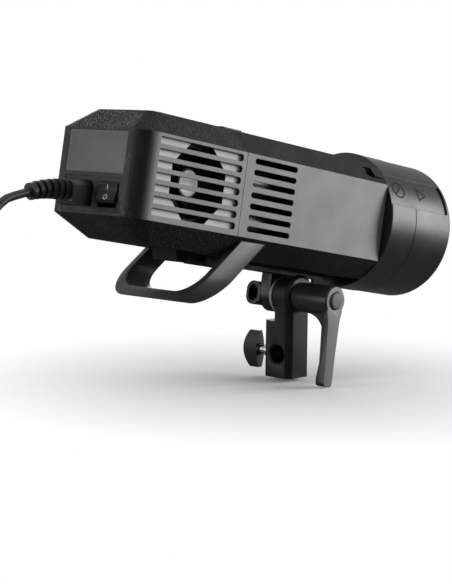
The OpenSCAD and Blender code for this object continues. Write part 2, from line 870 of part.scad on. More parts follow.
// Ceramic base that carries the tube and the modelling light
module tube_base() {
    color("#e4e2dc") lamp() difference() {
        axis_bar(dish_hole_r - seat_gap, base_fwd - base_back, base_fwd + base_t - base_back);
        for (s = [-1, 1]) tube_leg(s) cylinder(r = tube_r + seat_gap, h = base_t);
    }
}
module tube_leg(side) {
    translate([side * tube_ring_r * sin(tube_gap_angle), -base_fwd, -tube_ring_r * cos(tube_gap_angle)])
        rotate([90, 0, 0]) children();
}
// Ring-shaped flash tube on two straight legs
module flash_tube() {
    color("#dfe8ea") lamp() {
        translate([0, -tube_fwd, 0]) rotate([90, 0, 0]) rotate([0, 0, tube_gap_angle - 90])
            rotate_extrude(angle = 360 - 2 * tube_gap_angle) translate([tube_ring_r, 0]) circle(r = tube_r);
        for (s = [-1, 1]) {
            tube_leg(s) cylinder(r = tube_r, h = tube_fwd - base_fwd);
            translate([0, -tube_fwd + base_fwd, 0]) tube_leg(s) sphere(r = tube_r + tube_end);
        }
    }
}
// Modelling light in the middle of the tube: board and lens
module modelling_led() {
    board = base_fwd + base_t - base_back;
    color("#efe9c8") lamp() {
        axis_bar(led_r, board, board + led_board_t);
        translate([0, -board - led_board_t, 0]) intersection() {
            sphere(r = lens_r);
            rotate([90, 0, 0]) cylinder(r = led_r, h = led_r);
        }
    }
}
// Protective cap, open at the back, on a spigot with three bayonet lugs
module front_cap() {
    edge = cap_edge;
    rim_r = cap_rim_r;
    inside = cap_len - 2 * cap_wall - move_gap;
    mouth_r = spigot_r - spigot_wall;
    color("#2a2b2d") lamp() difference() {
        union() {
            revolved() {
                difference() {
                    union() {
                        polygon([[0, cap_back], [rim_r - seam_edge, cap_back], [rim_r, cap_back + seam_edge],
                            [rim_r, cap_front - edge], [0, cap_front - edge]]);
                        translate([0, cap_back]) square([rim_r - edge, cap_len - move_gap]);
                        translate([rim_r - edge, cap_front - edge]) circle(r = edge);
                    }
                    translate([-over, cap_back + cap_wall]) square([rim_r - cap_wall + over, inside]);
                    translate([-over, cap_back - over]) square([mouth_r + over, cap_wall + 2 * over]);
                }
                translate([mouth_r, spigot_fwd]) square([spigot_wall, cap_back + over - spigot_fwd]);
            }
            difference() {
                lug_sectors(lug_half_angle - lug_play, bore_r - lug_room - over, bayonet_fwd - catch_t,
                    bayonet_fwd - move_gap);
                axis_bar(spigot_r - over, spigot_fwd, bayonet_fwd + over);
            }
        }
        index_recess(rim_r - recess_t, rim_r + over, cap_back - over, slot_fwd + slot_w / 2, 0);
        index_recess(rim_r - slot_deep, rim_r + over, slot_fwd, slot_fwd + slot_w, slot_trim);
    }
}

// Tray on two ribs over the bracket screws
module equipment_tray() {
    color("#9b9c98") lamp() {
        translate([-tray_half, -tray_to, tray_z - tray_t]) cube([2 * tray_half, tray_to - tray_from, tray_t]);
        for (s = [-1, 1]) translate([s * rib_x - rib_w / 2, -tray_to, floor_z])
            cube([rib_w, tray_to - tray_from, tray_up - tray_t]);
    }
}
// Four storage capacitors, two on two
module capacitor_bank() {
    color("#23262b") lamp() for (s = [-1, 1]) for (i = [0, 1])
        translate([s * (can_r + seat_gap), can_y + can_len, tray_z + can_r + i * (2 * can_r + seat_gap)])
            rotate([90, 0, 0]) cylinder(r = can_r, h = can_len);
}
// Control board standing on the tray behind the panel
module main_board() {
    color("#1f5a35") lamp() translate([2 * can_r + 3 * seat_gap, -board_to, tray_z])
        cube([board_t, board_to - board_from, board_h]);
}
// Discharge choke ahead of the capacitors
module discharge_coil() {
    color("#8a5a33") lamp() translate([0, can_y - choke_gap - choke_foot[1] / 2, tray_z]) {
        translate([-choke_foot[0] / 2, -choke_foot[1] / 2, 0]) cube(choke_foot);
        translate([0, 0, choke_foot[2]]) cylinder(r = choke_r, h = choke_h);
    }
}
// Panel plate set into the left side, with a lip behind the wall
module control_panel() {
    back = inner_w - panel_lip - over;
    color("#1c1d1f") lamp() difference() {
        translate([0, panel_y, 0]) {
            side_plate(inner_w, panel_face) rounded(panel_size[0], panel_size[1], panel_corner);
            side_plate(inner_w - panel_lip, inner_w)
                rounded(panel_size[0] + panel_lip_out[0], panel_size[1] + panel_lip_out[1], panel_corner);
        }
        translate([0, display_y, display_z]) side_plate(back, panel_face + over)
            rounded(display_size[0], display_size[1], display_corner);
        translate([0, dial_y, dial_z]) cross_bar(sleeve_r + turn_gap, back, panel_face + over);
        for (i = [0 : 3]) key_place(i) cross_bar(button_d / 2 + move_gap, back, panel_face + over);
    }
}
module key_place(i) {
    translate([0, display_y + (1.5 - i) * key_pitch, key_z]) children();
}
// Plate of the display's outline drawn in by a gap on each side
module screen_plate(x0, x1, gap) {
    translate([0, display_y, display_z]) side_plate(x0, x1)
        rounded(display_size[0] - 2 * gap, display_size[1] - 2 * gap, display_corner - seat_gap);
}
module display_window() {
    color("#3c4a44") lamp() screen_plate(panel_face - window_t, panel_face, seat_gap);
}
module display_module() {
    back = inner_w - panel_lip;
    glass = panel_face - window_t;
    color("#9fb08c") lamp() {
        screen_plate(glass - screen_t, glass, 2 * seat_gap);
        screen_plate(back - screen_board, back, -screen_edge);
        screen_plate(back - over, glass - screen_t + over, screen_edge / 2);
    }
}
// Knurled select dial on a hollow sleeve
module select_dial() {
    face = panel_face + move_gap;
    color("#2d2e30") lamp() translate([0, dial_y, dial_z]) difference() {
        union() {
            cross_bar(dial_d / 2, face, face + dial_h);
            cross_bar(sleeve_r, inner_w - panel_lip - dial_foot, face + over);
        }
        cross_bar(set_r + move_gap, inner_w - panel_lip - dial_foot - over, face + dial_h + over);
        for (a = [1 : dial_flutes]) rotate([a * 360 / dial_flutes, 0, 0])
            translate([0, dial_d / 2 + flute_r / 3, 0])
                cross_bar(flute_r, face + flute_up, face + dial_h + over);
    }
}
// Push button through the dial, held by a flange behind its sleeve
module set_button() {
    foot = inner_w - panel_lip - dial_foot - move_gap;
    color("#3f4144") lamp() translate([0, dial_y, dial_z]) {
        cross_bar(set_r, foot - over, panel_face + move_gap + dial_h + set_out);
        cross_bar(sleeve_r - seat_gap, foot - key_flange, foot);
    }
}
// Round key with a flange behind the panel
module panel_button(i) {
    back = inner_w - panel_lip - move_gap;
    color("#4a4c4f") lamp() key_place(i) {
        cross_bar(button_d / 2, back - over, panel_face + key_out);
        cross_bar(key_flange_r, back - key_flange, back);
    }
}
module panel_button_1() {
    panel_button(0);
}
module panel_button_2() {
    panel_button(1);
}
module panel_button_3() {
    panel_button(2);
}
module panel_button_4() {
    panel_button(3);
}

// Top button that frees the mains unit, held in by a flange
module release_button() {
    w = release_size[0];
    l = release_size[1];
    foot = -wall - move_gap;
    color("#232426") lamp() translate([0, release_y, body_h / 2]) {
        translate([0, 0, foot]) linear_extrude(release_out - release_step - foot)
            rounded(w, l, release_corner);
        translate([0, 0, release_out - release_step]) linear_extrude(release_step)
            rounded(w - release_edge, l - release_edge, release_corner - over);
        translate([0, 0, foot - release_flange]) linear_extrude(release_flange)
            rounded(w + release_edge, l + release_edge, release_corner);
    }
}
// Frame on the right upper slope, its origin on the face, X down the slope and Y along the lamp
module latch_place() {
    mid_x = (body_w / 2 + top_half) / 2;
    mid_z = (side_half + body_h / 2) / 2;
    translate([-mid_x, -latch_fwd, mid_z]) rotate([0, -top_turn, 0]) children();
}
module latch_cut() {
    translate([0, 0, -latch_deep]) linear_extrude(latch_deep + over)
        rounded(latch_pocket[0], latch_pocket[1], latch_corner + move_gap);
    translate([0, 0, -wall - over]) linear_extrude(wall) square(latch_slot, center = true);
}
// Sliding catch that frees an accessory from the bayonet
module mount_latch() {
    w = latch_size[0];
    l = latch_size[1];
    color("#4d4f52") lamp() latch_place() translate([0, (l - latch_pocket[1]) / 2 + move_gap, 0]) {
        translate([0, 0, move_gap - latch_deep]) linear_extrude(latch_deep + latch_out) difference() {
            rounded(w, l, latch_corner);
            for (i = [-1 : 1]) translate([0, groove_pitch * i]) square([w + over, groove_w], center = true);
        }
        translate([0, 0, move_gap - latch_deep]) linear_extrude(over) rounded(w, l, latch_corner);
        translate([0, latch_tail_y, -wall - latch_corner]) linear_extrude(wall)
            square(latch_tail, center = true);
    }
}

// Sockets in the body's rear wall for the mains unit's blades
module contact_window() {
    rear_box(0, contact_z, contact_size + [2 * seat_gap, 2 * seat_gap], -wall - over, over);
}
module body_contacts() {
    color("#b9a06a") lamp() difference() {
        union() {
            rear_box(0, contact_z, contact_size, -wall, -contact_low);
            rear_box(0, contact_z, contact_size + [contact_lip, contact_lip], -wall - contact_deep, -wall);
        }
        for (x = blade_places)
            rear_box(x, contact_z, blade_size + [2 * move_gap, 2 * over], -wall - contact_deep + over, over);
    }
}
// Low rubber skid under the body
module body_skid() {
    front = skid_in - plate_back;
    color("#18191a") lamp() side_plate(-skid_half, skid_half) polygon([[front, plate_z], [-skid_in, plate_z],
        [-skid_in, plate_z - skid_t + skid_step], [-skid_in - skid_step, plate_z - skid_t],
        [front + skid_in, plate_z - skid_t], [front, plate_z - plate_t]]);
}

// Outer form of the mains unit: a band with round rear corners between sloped faces
module mains_form(inset, front) {
    w = body_w / 2 - inset;
    h = body_h / 2 - inset;
    s = side_half - inset * tan(side_turn / 2);
    t = top_half - inset * tan(top_turn / 2);
    hull() {
        translate([0, 0, -s]) linear_extrude(2 * s)
            mains_plan(w, front, mains_len - inset, mains_corner - inset);
        translate([0, 0, h - thin]) linear_extrude(thin)
            mains_plan(t, front, mains_len - top_run - inset, slope_corner);
        translate([0, 0, -h]) linear_extrude(thin)
            mains_plan(t, front, mains_len - bottom_run - inset, slope_corner);
    }
}
module mains_plan(half, front, rear, r) {
    translate([-half, front]) square([2 * half, rear - r - front]);
    translate([r - half, rear - r]) square([2 * (half - r), r]);
    for (s = [-1, 1]) translate([s * (half - r), rear - r]) circle(r = r, $fn = 40);
}
// Hole in the rear face about a middle in X and Z, loose by the seating gap
module rear_hole(x, z, size, deep) {
    rear_box(x, z, size + [2 * seat_gap, 2 * seat_gap], mains_len - deep, mains_len + over);
}
module mains_shell() {
    color("#3d3e40") lamp() difference() {
        union() {
            difference() {
                mains_form(0, move_gap);
                mains_form(wall, move_gap - over);
            }
            for (s = [-1, 1])
                translate([s * pack_rib_x - pack_rib_w / 2, pack_board_from, floor_z - over / 2])
                    cube([pack_rib_w, pack_board_len, pack_board_up + over / 2]);
        }
        vent_cut(-body_w / 2, grille_start, grille_end, grille_h, true);
        vent_cut(body_w / 2, grille_start, grille_end, grille_h, true);
        rear_box(0, label_z, label_size, mains_len - label_deep, mains_len + over);
        rear_hole(inlet_x, socket_z, [inlet_w, inlet_h], pocket_deep);
        rear_hole(inlet_x, socket_z, [inlet_body[0], inlet_body[1]], 2 * wall);
        rear_hole(switch_x, socket_z, [switch_w, switch_h], pocket_deep);
        rear_hole(switch_x, socket_z, switch_body, 2 * wall);
    }
}
// Cover inside the mouth of the mains unit
module mains_front_plate() {
    color("#2c2d2f") lamp() difference() {
        rear_plate(move_gap, move_gap + wall) section(wall + seat_gap);
        for (x = blade_places) rear_box(x, contact_z, blade_size + [2 * seat_gap, 4 * seat_gap], 0, 2 * wall);
    }
}
module pack_contacts() {
    root = wall + move_gap;
    color("#c8a24c") lamp() for (x = blade_places) {
        rear_box(x, contact_z, blade_size, -wall - blade_reach, root);
        rear_box(x, contact_z, [blade_root[0], blade_root[1]], root, root + blade_root[2]);
    }
}
// Pale plate behind the right-hand slots, with an octagonal duct to the fan
module vent_baffle() {
    color("#c4c5c6") lamp() difference() {
        union() {
            side_plate(-inner_w + seat_gap, baffle_x) translate([grille_start, -baffle_half])
                square([grille_end - grille_start - baffle_end_gap, 2 * baffle_half]);
            duct(duct_flat + duct_wall, baffle_x - over / 2, fan_front);
        }
        duct(duct_flat, -inner_w - over, fan_front + over);
    }
}
// Octagonal prism about the fan's axis, from its half width across flats
module duct(flat, x0, x1) {
    translate([0, fan_y, vent_mid_z]) side_plate(x0, x1) rotate(octagon_turn)
        circle(r = flat / cos(octagon_turn), $fn = octagon);
}
// Square fan frame with a motor boss on four struts
module fan_frame() {
    hole = fan_size / 2 - fan_hole_in;
    boss = fan_back - fan_boss_t;
    color("#19191b") lamp() translate([0, fan_y, vent_mid_z]) difference() {
        union() {
            difference() {
                side_plate(fan_front, fan_back) rounded(fan_size, fan_size, fan_corner);
                cross_bar(fan_bore, fan_front - over, fan_back + over);
                for (y = [-1, 1]) for (z = [-1, 1]) translate([0, y * hole, z * hole])
                    cross_bar(fan_hole_r, fan_front - over, fan_back + over);
            }
            cross_bar(fan_hub_r, boss, fan_back);
            for (a = [45 : 90 : 315]) rotate([a, 0, 0]) translate([boss, -fan_boss_t / 2, 0])
                cube([fan_boss_t, fan_boss_t, fan_bore + over / 2]);
        }
        cross_bar(fan_pin_r + turn_gap, boss - over, fan_back + over);
    }
}
// Fan wheel: hub, pitched blades and its pin
module fan_rotor() {
    blade = [blade_w, blade_t, fan_bore - fan_hub_r - blade_gap];
    hub_front = fan_front + 2.5;
    hub_back = fan_back - fan_boss_t - move_gap;
    color("#202123") lamp() translate([0, fan_y, vent_mid_z]) {
        cross_bar(fan_hub_r, hub_front, hub_back);
        cross_bar(fan_pin_r, hub_back - over, fan_back - over / 2);
        for (i = [1 : fan_blades]) rotate([i * 360 / fan_blades, 0, 0])
            translate([(hub_front + hub_back) / 2, 0, fan_hub_r - blade_gap]) rotate([0, 0, fan_pitch])
                translate([-blade[0] / 2, -blade[1] / 2, 0]) cube(blade);
    }
}
module mains_board() {
    color("#1f5a35") lamp() translate([-pack_board_half, pack_board_from, floor_z + pack_board_up])
        cube([2 * pack_board_half, pack_board_len, pack_board_t]);
}
// Transformer, two reservoirs and a heat sink on the board
module mains_parts() {
    sink_len = (sink_fins - 1) * sink_pitch + sink_t;
    color("#b08f3c") lamp() translate([0, 0, pack_board_top]) {
        translate([sink_t, pack_board_from + sink_t, 0]) cube(transformer);
        for (x = [1, 3]) translate([x * pack_board_half / 4, reservoir_y, 0])
            cylinder(r = reservoir_r, h = reservoir_h);
        translate([-sink_w - sink_pitch, pack_board_from + sink_pitch, 0]) {
            for (i = [0 : sink_fins - 1]) translate([0, sink_pitch * i, 0]) cube([sink_w, sink_t, sink_h]);
            cube([sink_w, sink_len, sink_t]);
        }
    }
}
// Appliance inlet: flange, moulded body and its shaped well
module inlet_outline(size) {
    x = size[0] / 2;
    z = size[1] / 2;
    c = inlet_corner;
    polygon([[-x, -z], [x, -z], [x, z - c], [x - c, z], [c - x, z], [-x, z - c]]);
}
module inlet_pin_places() {
    for (p = [[-pin_side, -pin_up], [0, pin_up], [pin_side, -pin_up]])
        translate([inlet_x + p[0], 0, socket_z + p[1]]) children();
}
module inlet_socket() {
    back = flange_y - inlet_body[2];
    color("#141416") lamp() difference() {
        union() {
            rear_box(inlet_x, socket_z, [inlet_w, inlet_h], mains_len - pocket_deep, flange_y);
            rear_box(inlet_x, socket_z, [inlet_body[0], inlet_body[1]], back, flange_y);
        }
        translate([inlet_x, 0, socket_z]) rear_plate(flange_y - inlet_hole_deep, flange_y + over)
            inlet_outline(inlet_hole);
        inlet_pin_places() rear_box(0, 0, pin_size, back - over, flange_y);
    }
}
module inlet_pins() {
    color("#cfcac0") lamp() inlet_pin_places() rear_box(0, 0, pin_size,
        flange_y - inlet_body[2] - pin_tail, flange_y - inlet_hole_deep + pin_len);
}
// Rocker switch: bezel with a pivoting rocker
module switch_frame() {
    color("#121314") lamp() difference() {
        union() {
            rear_box(switch_x, socket_z, [switch_w, switch_h], mains_len - pocket_deep, mains_len);
            rear_box(switch_x, socket_z, switch_body, mains_len - switch_deep, mains_len - pocket_deep);
        }
        rear_box(switch_x, socket_z, [rocker_w, rocker_h] + [2 * move_gap, 4 * move_gap],
            mains_len - switch_deep + 2 * over, mains_len + over);
        translate([switch_x, rocker_y, socket_z])
            cross_bar(axle_r + turn_gap, -rocker_w / 2 - 2 * over, rocker_w / 2 + 2 * over);
    }
}
// Rocker with a hollowed face, turned on its axle with the upper half pressed in
module rocker() {
    color("#1b1c1d") lamp() translate([switch_x, rocker_y, socket_z]) rotate([rocker_throw, 0, 0]) {
        intersection() {
            difference() {
                translate([-rocker_w / 2, -rocker_back, over - rocker_h / 2])
                    cube([rocker_w, rocker_front + rocker_back, rocker_h - 2 * over]);
                translate([0, rocker_face + rocker_r + rocker_hollow, 0])
                    cross_bar(rocker_r, -rocker_w, rocker_w);
            }
            cross_bar(rocker_swing, -rocker_w / 2, rocker_w / 2);
        }
        cross_bar(axle_r, -rocker_w / 2 - axle_r, rocker_w / 2 + axle_r);
    }
}
// Low rubber skid under the mains unit, sloped at both ends
module rear_skid() {
    low = plate_z - skid_t;
    color("#18191a") lamp() side_plate(-skid_half, skid_half) polygon([[skid_start, plate_z],
        [skid_end + skid_step, plate_z], [skid_end, low], [skid_start + skid_t / 2, low],
        [skid_start, low + skid_t / 2]]);
}

// Line connector in the inlet: a nose with pin holes and a tapering body
module cord_connector() {
    well = flange_y - inlet_hole_deep;
    color("#151516") lamp() difference() {
        translate([inlet_x, 0, socket_z]) {
            rear_plate(well + nose_short, flange_y + over)
                inlet_outline(inlet_hole - [2 * nose_gap, 2 * nose_gap]);
            hull() {
                rear_plate(flange_y + connector_seat, flange_y + connector_flat)
                    inlet_outline(connector_body);
                rear_plate(flange_y + connector_len - nose_short, flange_y + connector_len)
                    inlet_outline(connector_tail);
            }
        }
        inlet_pin_places()
            rear_box(0, 0, pin_size + [2 * pin_room, 2 * pin_room], well, well + pin_len + over);
    }
}
// Ribbed relief that droops with the lead: a bent core with tapering ribs
module connector_relief() {
    step = relief_droop / relief_ribs;
    color("#1a1a1b") lamp() translate([inlet_x, flange_y + connector_len, socket_z - relief_arc]) {
        rotate([0, -90, 0]) rotate_extrude(angle = relief_droop, $fn = 360)
            translate([relief_arc, 0]) circle(r = relief_core);
        for (i = [0 : relief_ribs - 1]) rotate([-(i + 0.5) * step, 0, 0]) translate([0, 0, relief_arc])
            rear_plate(-rib_t / 2, rib_t / 2)
                circle(r = relief_core + rib_low + (rib_high - rib_low) * (1 - i / relief_ribs));
    }
}
module cord_run() {
    color("#161617") swept_tube(run_points, cord_r, cord_sides);
}
module cord_coil() {
    color("#161617") swept_tube(coil_points, cord_r, coil_sides);
}
// Strap round the turns at the top of the coil
module coil_tie() {
    low = coil_r - turn_step * coil_turns / 2 - cord_r - tie_gap;
    size = [turn_step + cord_d + 2 * tie_gap, tie_w, coil_r + cord_r + tie_gap - low];
    color("#242528") translate(coil_centre + [-cord_r - tie_gap, -tie_w / 2, low]) difference() {
        translate([-tie_t, 0, -tie_t]) cube(size + [2 * tie_t, 0, 2 * tie_t]);
        translate([0, -over, 0]) cube(size + [0, 2 * over, 0]);
    }
}
// Moulded plug hanging from the coil's end
module mains_plug() {
    color("#161617") translate(coil_end) {
        translate([0, 0, -plug_relief])
            cylinder(r1 = relief_core + plug_flare, r2 = relief_core, h = plug_relief);
        for (i = [1 : plug_ribs]) translate([0, 0, -i * plug_relief / (plug_ribs + 1)])
            cylinder(r = relief_core + plug_rib, h = plug_rib_t);
        translate([0, 0, -plug_relief - plug_len]) linear_extrude(plug_len)
            rounded(plug_w, plug_t, plug_corner);
    }
}
module plug_pins() {
    color("#c9c6bd") translate(coil_end - [0, 0, plug_relief + plug_len]) {
        for (s = [-1, 1]) translate([s * blade_pin_x, blade_pin_y, -blade_pin[2] / 2])
            cube(blade_pin, center = true);
        translate([0, earth_y, -earth_len]) cylinder(d = earth_d, h = earth_len);
    }
}

// Face of the lever's arm in Y and Z: it runs out of the eye and tapers to round corners
module arm_face() {
    low = arm_round - lever_len;
    for (turn = [0, 1]) mirror([turn, 0]) {
        polygon([[0, arm_flare[1]], [0, -lever_len], [arm_end / 2 - arm_round, -lever_len],
            [arm_end / 2, low], [arm_mid[0] / 2, arm_mid[1]], [arm_top[0] / 2, arm_top[1]],
            [arm_flare[0] / 2, arm_flare[1]]]);
        translate([arm_end / 2 - arm_round, low]) circle(r = arm_round);
    }
}
// Side of the arm in X and Z, with a foot that stands out at its end
module arm_side() {
    foot_x = arm_x + arm_foot;
    polygon([[lever_x, 0], [arm_x, 0], [arm_x, foot_h + foot_slope - lever_len], [foot_x, foot_h - lever_len],
        [foot_x, over - lever_len], [foot_x - over, -lever_len], [lever_x, -lever_len]]);
}
// Clamping lever: hub on the stud, tapering arm and the gusset between them
module clamp_lever() {
    gusset_x = arm_x + gusset_r;
    color("#3b3c3e") lamp() translate([0, -pivot_fwd, -pivot_drop]) rotate([lever_rest, 0, 0]) difference() {
        union() {
            cross_bar(hub_r, lever_x + eye_bevel, hub_x);
            translate([lever_x, 0, 0]) rotate([0, 90, 0])
                cylinder(r1 = hub_r - eye_bevel, r2 = hub_r, h = eye_bevel);
            intersection() {
                side_plate(lever_x, arm_x + arm_foot) arm_face();
                rear_plate(-hub_r, hub_r) arm_side();
            }
            rear_plate(-gusset_half, gusset_half) difference() {
                translate([arm_x - over, -hub_r - gusset_r])
                    square([gusset_r + over, gusset_r + 4 * over]);
                translate([gusset_x, -hub_r - gusset_r]) circle(r = gusset_r);
            }
        }
        cross_bar(stud_d / 2 + turn_gap, stud_tip - over / 2, hub_x + over);
        cross_bar(button_bore, lever_x - over, lever_x + button_deep);
    }
}
// Push button in the lever's eye, with a bevelled face
module lever_button() {
    face = lever_x - button_out;
    color("#55575a") lamp() translate([0, -pivot_fwd, -pivot_drop]) {
        cross_bar(button_r, face + button_bevel, face + button_len);
        translate([face, 0, 0]) rotate([0, 90, 0])
            cylinder(r1 = button_r - button_bevel, r2 = button_r, h = button_bevel);
    }
}

stand_receiver();
brass_washer();
knob_bar();
knob_screw();
tilt_bracket();
pivot_stud();
friction_washer();
bracket_screws();
carry_handle();
handle_screws();
housing_right();
housing_left();
housing_screws();
front_collar();
bayonet_ring();
front_reflector();
tube_base();
flash_tube();
modelling_led();
equipment_tray();
capacitor_bank();
main_board();
discharge_coil();
control_panel();
display_window();
display_module();
port_sockets();
body_contacts();
body_skid();
mains_shell();
mains_front_plate();
vent_baffle();
fan_frame();
mains_board();
mains_parts();
inlet_socket();
inlet_pins();
switch_frame();
pack_contacts();
rear_skid();
cord_connector();
connector_relief();
cord_run();
cord_coil();
coil_tie();
mains_plug();
plug_pins();
front_cap();
mount_latch();
clamp_lever();
lever_button();
release_button();
fan_rotor();
rocker();
select_dial();
set_button();
panel_button_1();
panel_button_2();
panel_button_3();
panel_button_4();
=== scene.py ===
"""Looks of a monolight strobe on its tilting stand bracket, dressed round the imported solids.

Lengths are metres in the row frame. The lamp's own frame has its origin on the lamp's axis at the
seam between body and mains unit, with x to the lamp's left, y to the rear and z up.
"""
import functools
import logging
import math
from collections.abc import Callable
from dataclasses import dataclass
from enum import Enum

import bpy
from mathutils import Matrix, Vector


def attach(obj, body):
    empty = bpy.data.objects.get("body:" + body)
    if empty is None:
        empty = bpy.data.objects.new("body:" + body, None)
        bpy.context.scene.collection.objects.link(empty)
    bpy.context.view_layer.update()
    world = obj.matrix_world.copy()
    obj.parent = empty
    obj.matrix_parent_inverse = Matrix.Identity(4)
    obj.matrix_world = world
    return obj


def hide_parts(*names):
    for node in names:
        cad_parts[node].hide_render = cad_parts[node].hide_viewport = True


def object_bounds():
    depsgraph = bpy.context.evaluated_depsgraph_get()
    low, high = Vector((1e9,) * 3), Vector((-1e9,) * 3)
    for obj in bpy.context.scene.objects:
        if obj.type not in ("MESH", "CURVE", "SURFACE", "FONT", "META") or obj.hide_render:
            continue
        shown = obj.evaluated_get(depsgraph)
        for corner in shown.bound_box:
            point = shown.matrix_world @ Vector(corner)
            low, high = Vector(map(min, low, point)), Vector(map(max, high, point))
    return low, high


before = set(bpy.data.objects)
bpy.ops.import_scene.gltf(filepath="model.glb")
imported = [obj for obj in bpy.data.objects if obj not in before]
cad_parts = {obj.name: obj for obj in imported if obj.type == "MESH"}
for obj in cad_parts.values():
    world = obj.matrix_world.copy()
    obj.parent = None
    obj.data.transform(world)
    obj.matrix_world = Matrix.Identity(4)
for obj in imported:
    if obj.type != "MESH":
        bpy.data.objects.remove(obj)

CAD_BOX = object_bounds()
MM = 0.001
QUARTER = math.pi / 2
log = logging.getLogger("strobe")

Triple = tuple[float, float, float]
Pair = tuple[float, float]
Colour = Triple
Piece, Material = bpy.types.Object, bpy.types.Material
Node, Socket, Tree = bpy.types.Node, bpy.types.NodeSocket, bpy.types.NodeTree
Sockets = bpy.types.bpy_prop_collection


def mm(x: float, y: float, z: float) -> Vector:
    """A vector given in millimetres."""
    return Vector((x, y, z)) * MM


def moved(x: float, y: float, z: float) -> Matrix:
    """A move given in millimetres."""
    return Matrix.Translation(mm(x, y, z))


def turned(angle: float, axis: str) -> Matrix:
    """A turn about one axis."""
    return Matrix.Rotation(angle, 4, axis)


def grey(tone: float) -> Colour:
    """An even grey."""
    return tone, tone, tone


@dataclass(frozen=True)
class LampFrame:
    """Where the tilted lamp's own frame stands in the row frame."""

    tilt: float = math.radians(10.0)
    pivot: Triple = (0.0, 0.0, 0.072)
    behind: float = 0.133
    above: float = 0.076

    def matrix(self) -> Matrix:
        """The transform from the lamp's frame to the row frame."""
        lift = Matrix.Translation((0.0, self.behind, self.above))
        return Matrix.Translation(self.pivot) @ turned(self.tilt, "X") @ lift


LAMP = LampFrame().matrix()


class Nodes:
    """A short hand for adding and joining shader nodes in one tree."""

    # Places of the Mix node's sockets for colours
    FACTOR, FIRST, SECOND, MIXED = 0, 6, 7, 2

    def __init__(self, tree: Tree) -> None:
        """Takes the node tree of a material, world or group."""
        self.tree = tree

    def add(self, kind: str, **settings: object) -> Node:
        """Adds one node.

        Args:
            kind: The node's type name without ShaderNode.
            **settings: Attributes to set on it.

        Returns:
            The new node.
        """
        node = self.tree.nodes.new(f"ShaderNode{kind}")
        for name, value in settings.items():
            setattr(node, name, value)
        return node

    def put(self, socket: Socket, value: object) -> None:
        """Links or sets one input.

        Args:
            socket: The input.
            value: A socket to link, or a plain value to set.
        """
        if isinstance(value, Socket):
            self.tree.links.new(value, socket)
        else:
            socket.default_value = value

    def feed(self, node: Node, *ordered: object, **named: object) -> Node:
        """Puts values into a node's inputs.

        Args:
            node: The node.
            *ordered: Values for its first inputs.
            **named: Values by the input's name, with _ for a space.

        Returns:
            The same node.
        """
        for socket, value in zip(node.inputs, ordered):
            self.put(socket, value)
        for name, value in named.items():
            self.put(node.inputs[name.replace("_", " ")], value)
        return node

    def math(self, operation: str, *values: object) -> Socket:
        """What a Math node makes of sockets or numbers."""
        return self.feed(self.add("Math", operation=operation), *values).outputs[0]

    def vector(self, operation: str, *values: object) -> Node:
        """A Vector Math node for sockets or vectors."""
        return self.feed(self.add("VectorMath", operation=operation), *values)

    def dot(self, vector: Socket, axis: object) -> Socket:
        """How far a vector points along an axis."""
        return self.vector("DOT_PRODUCT", vector, axis).outputs["Value"]

    def mix(self, factor: object, a: object, b: object) -> Socket:
        """Mixes two colours.

        Args:
            factor: A socket or number, 0 for the first colour.
            a: The first colour, a socket or RGB.
            b: The second colour, a socket or RGB.

        Returns:
            The mixed colour.
        """
        node = self.add("Mix", data_type="RGBA")
        self.put(node.inputs[self.FACTOR], factor)
        for index, value in ((self.FIRST, a), (self.SECOND, b)):
            self.put(node.inputs[index], (*value, 1.0) if isinstance(value, tuple) else value)
        return node.outputs[self.MIXED]

    def noise(self, vector: Socket, scale: object, detail: float) -> Socket:
        """A noise from 0 to 1, by features a metre and octaves of finer detail."""
        node = self.add("TexNoise")
        return self.feed(node, Vector=vector, Scale=scale, Detail=detail).outputs[0]

    def spread(self, value: Socket, low: float, high: float) -> Socket:
        """Stretches a value so that low becomes 0 and high becomes 1, clamped."""
        node = self.add("MapRange", clamp=True)
        return self.feed(node, Value=value, From_Min=low, From_Max=high).outputs[0]

    def bump(
        self, height: Socket, relief_mm: float, normal: Socket | None = None, strength: float = 1.0
    ) -> Socket:
        """Bends a normal by a height in the surface.

        Args:
            height: The height from 0 to 1.
            relief_mm: How far 1 stands out.
            normal: The normal to bend, or none for the surface's own.
            strength: The share of the effect that shows.

        Returns:
            The bent normal.
        """
        node = self.feed(self.add("Bump"), Height=height, Strength=strength, Distance=relief_mm * MM)
        if normal is not None:
            self.feed(node, Normal=normal)
        return node.outputs[0]

    def place(self) -> Socket:
        """The object's own coordinates."""
        return self.add("TexCoord").outputs["Object"]

    def shader(self) -> Node:
        """The material's Principled shader."""
        return self.tree.nodes["Principled BSDF"]

    def group(self, tree: Tree, **values: object) -> Sockets:
        """The outputs of a shared group that is fed by name."""
        return self.feed(self.add("Group", node_tree=tree), **values).outputs


class Kind(Enum):
    """What a socket of a shared group carries."""

    VALUE = "NodeSocketFloat"
    VECTOR = "NodeSocketVector"


def new_group(
    name: str, inputs: dict[str, float | Triple], outputs: dict[str, Kind]
) -> tuple[Nodes, Sockets, Node]:
    """Starts a shared shader group.

    Args:
        name: The group's name.
        inputs: Input names with their usual values.
        outputs: Output names with what they carry.

    Returns:
        The tree's short hand, what the group is given, and the node to feed with its results.
    """
    tree = bpy.data.node_groups.new(name, "ShaderNodeTree")
    for title, value in inputs.items():
        kind = Kind.VECTOR if isinstance(value, tuple) else Kind.VALUE
        socket = tree.interface.new_socket(name=title, in_out="INPUT", socket_type=kind.value)
        socket.default_value = value
    for title, kind in outputs.items():
        tree.interface.new_socket(name=title, in_out="OUTPUT", socket_type=kind.value)
    given, put = (tree.nodes.new(f"NodeGroup{end}") for end in ("Input", "Output"))
    return Nodes(tree), given.outputs, put


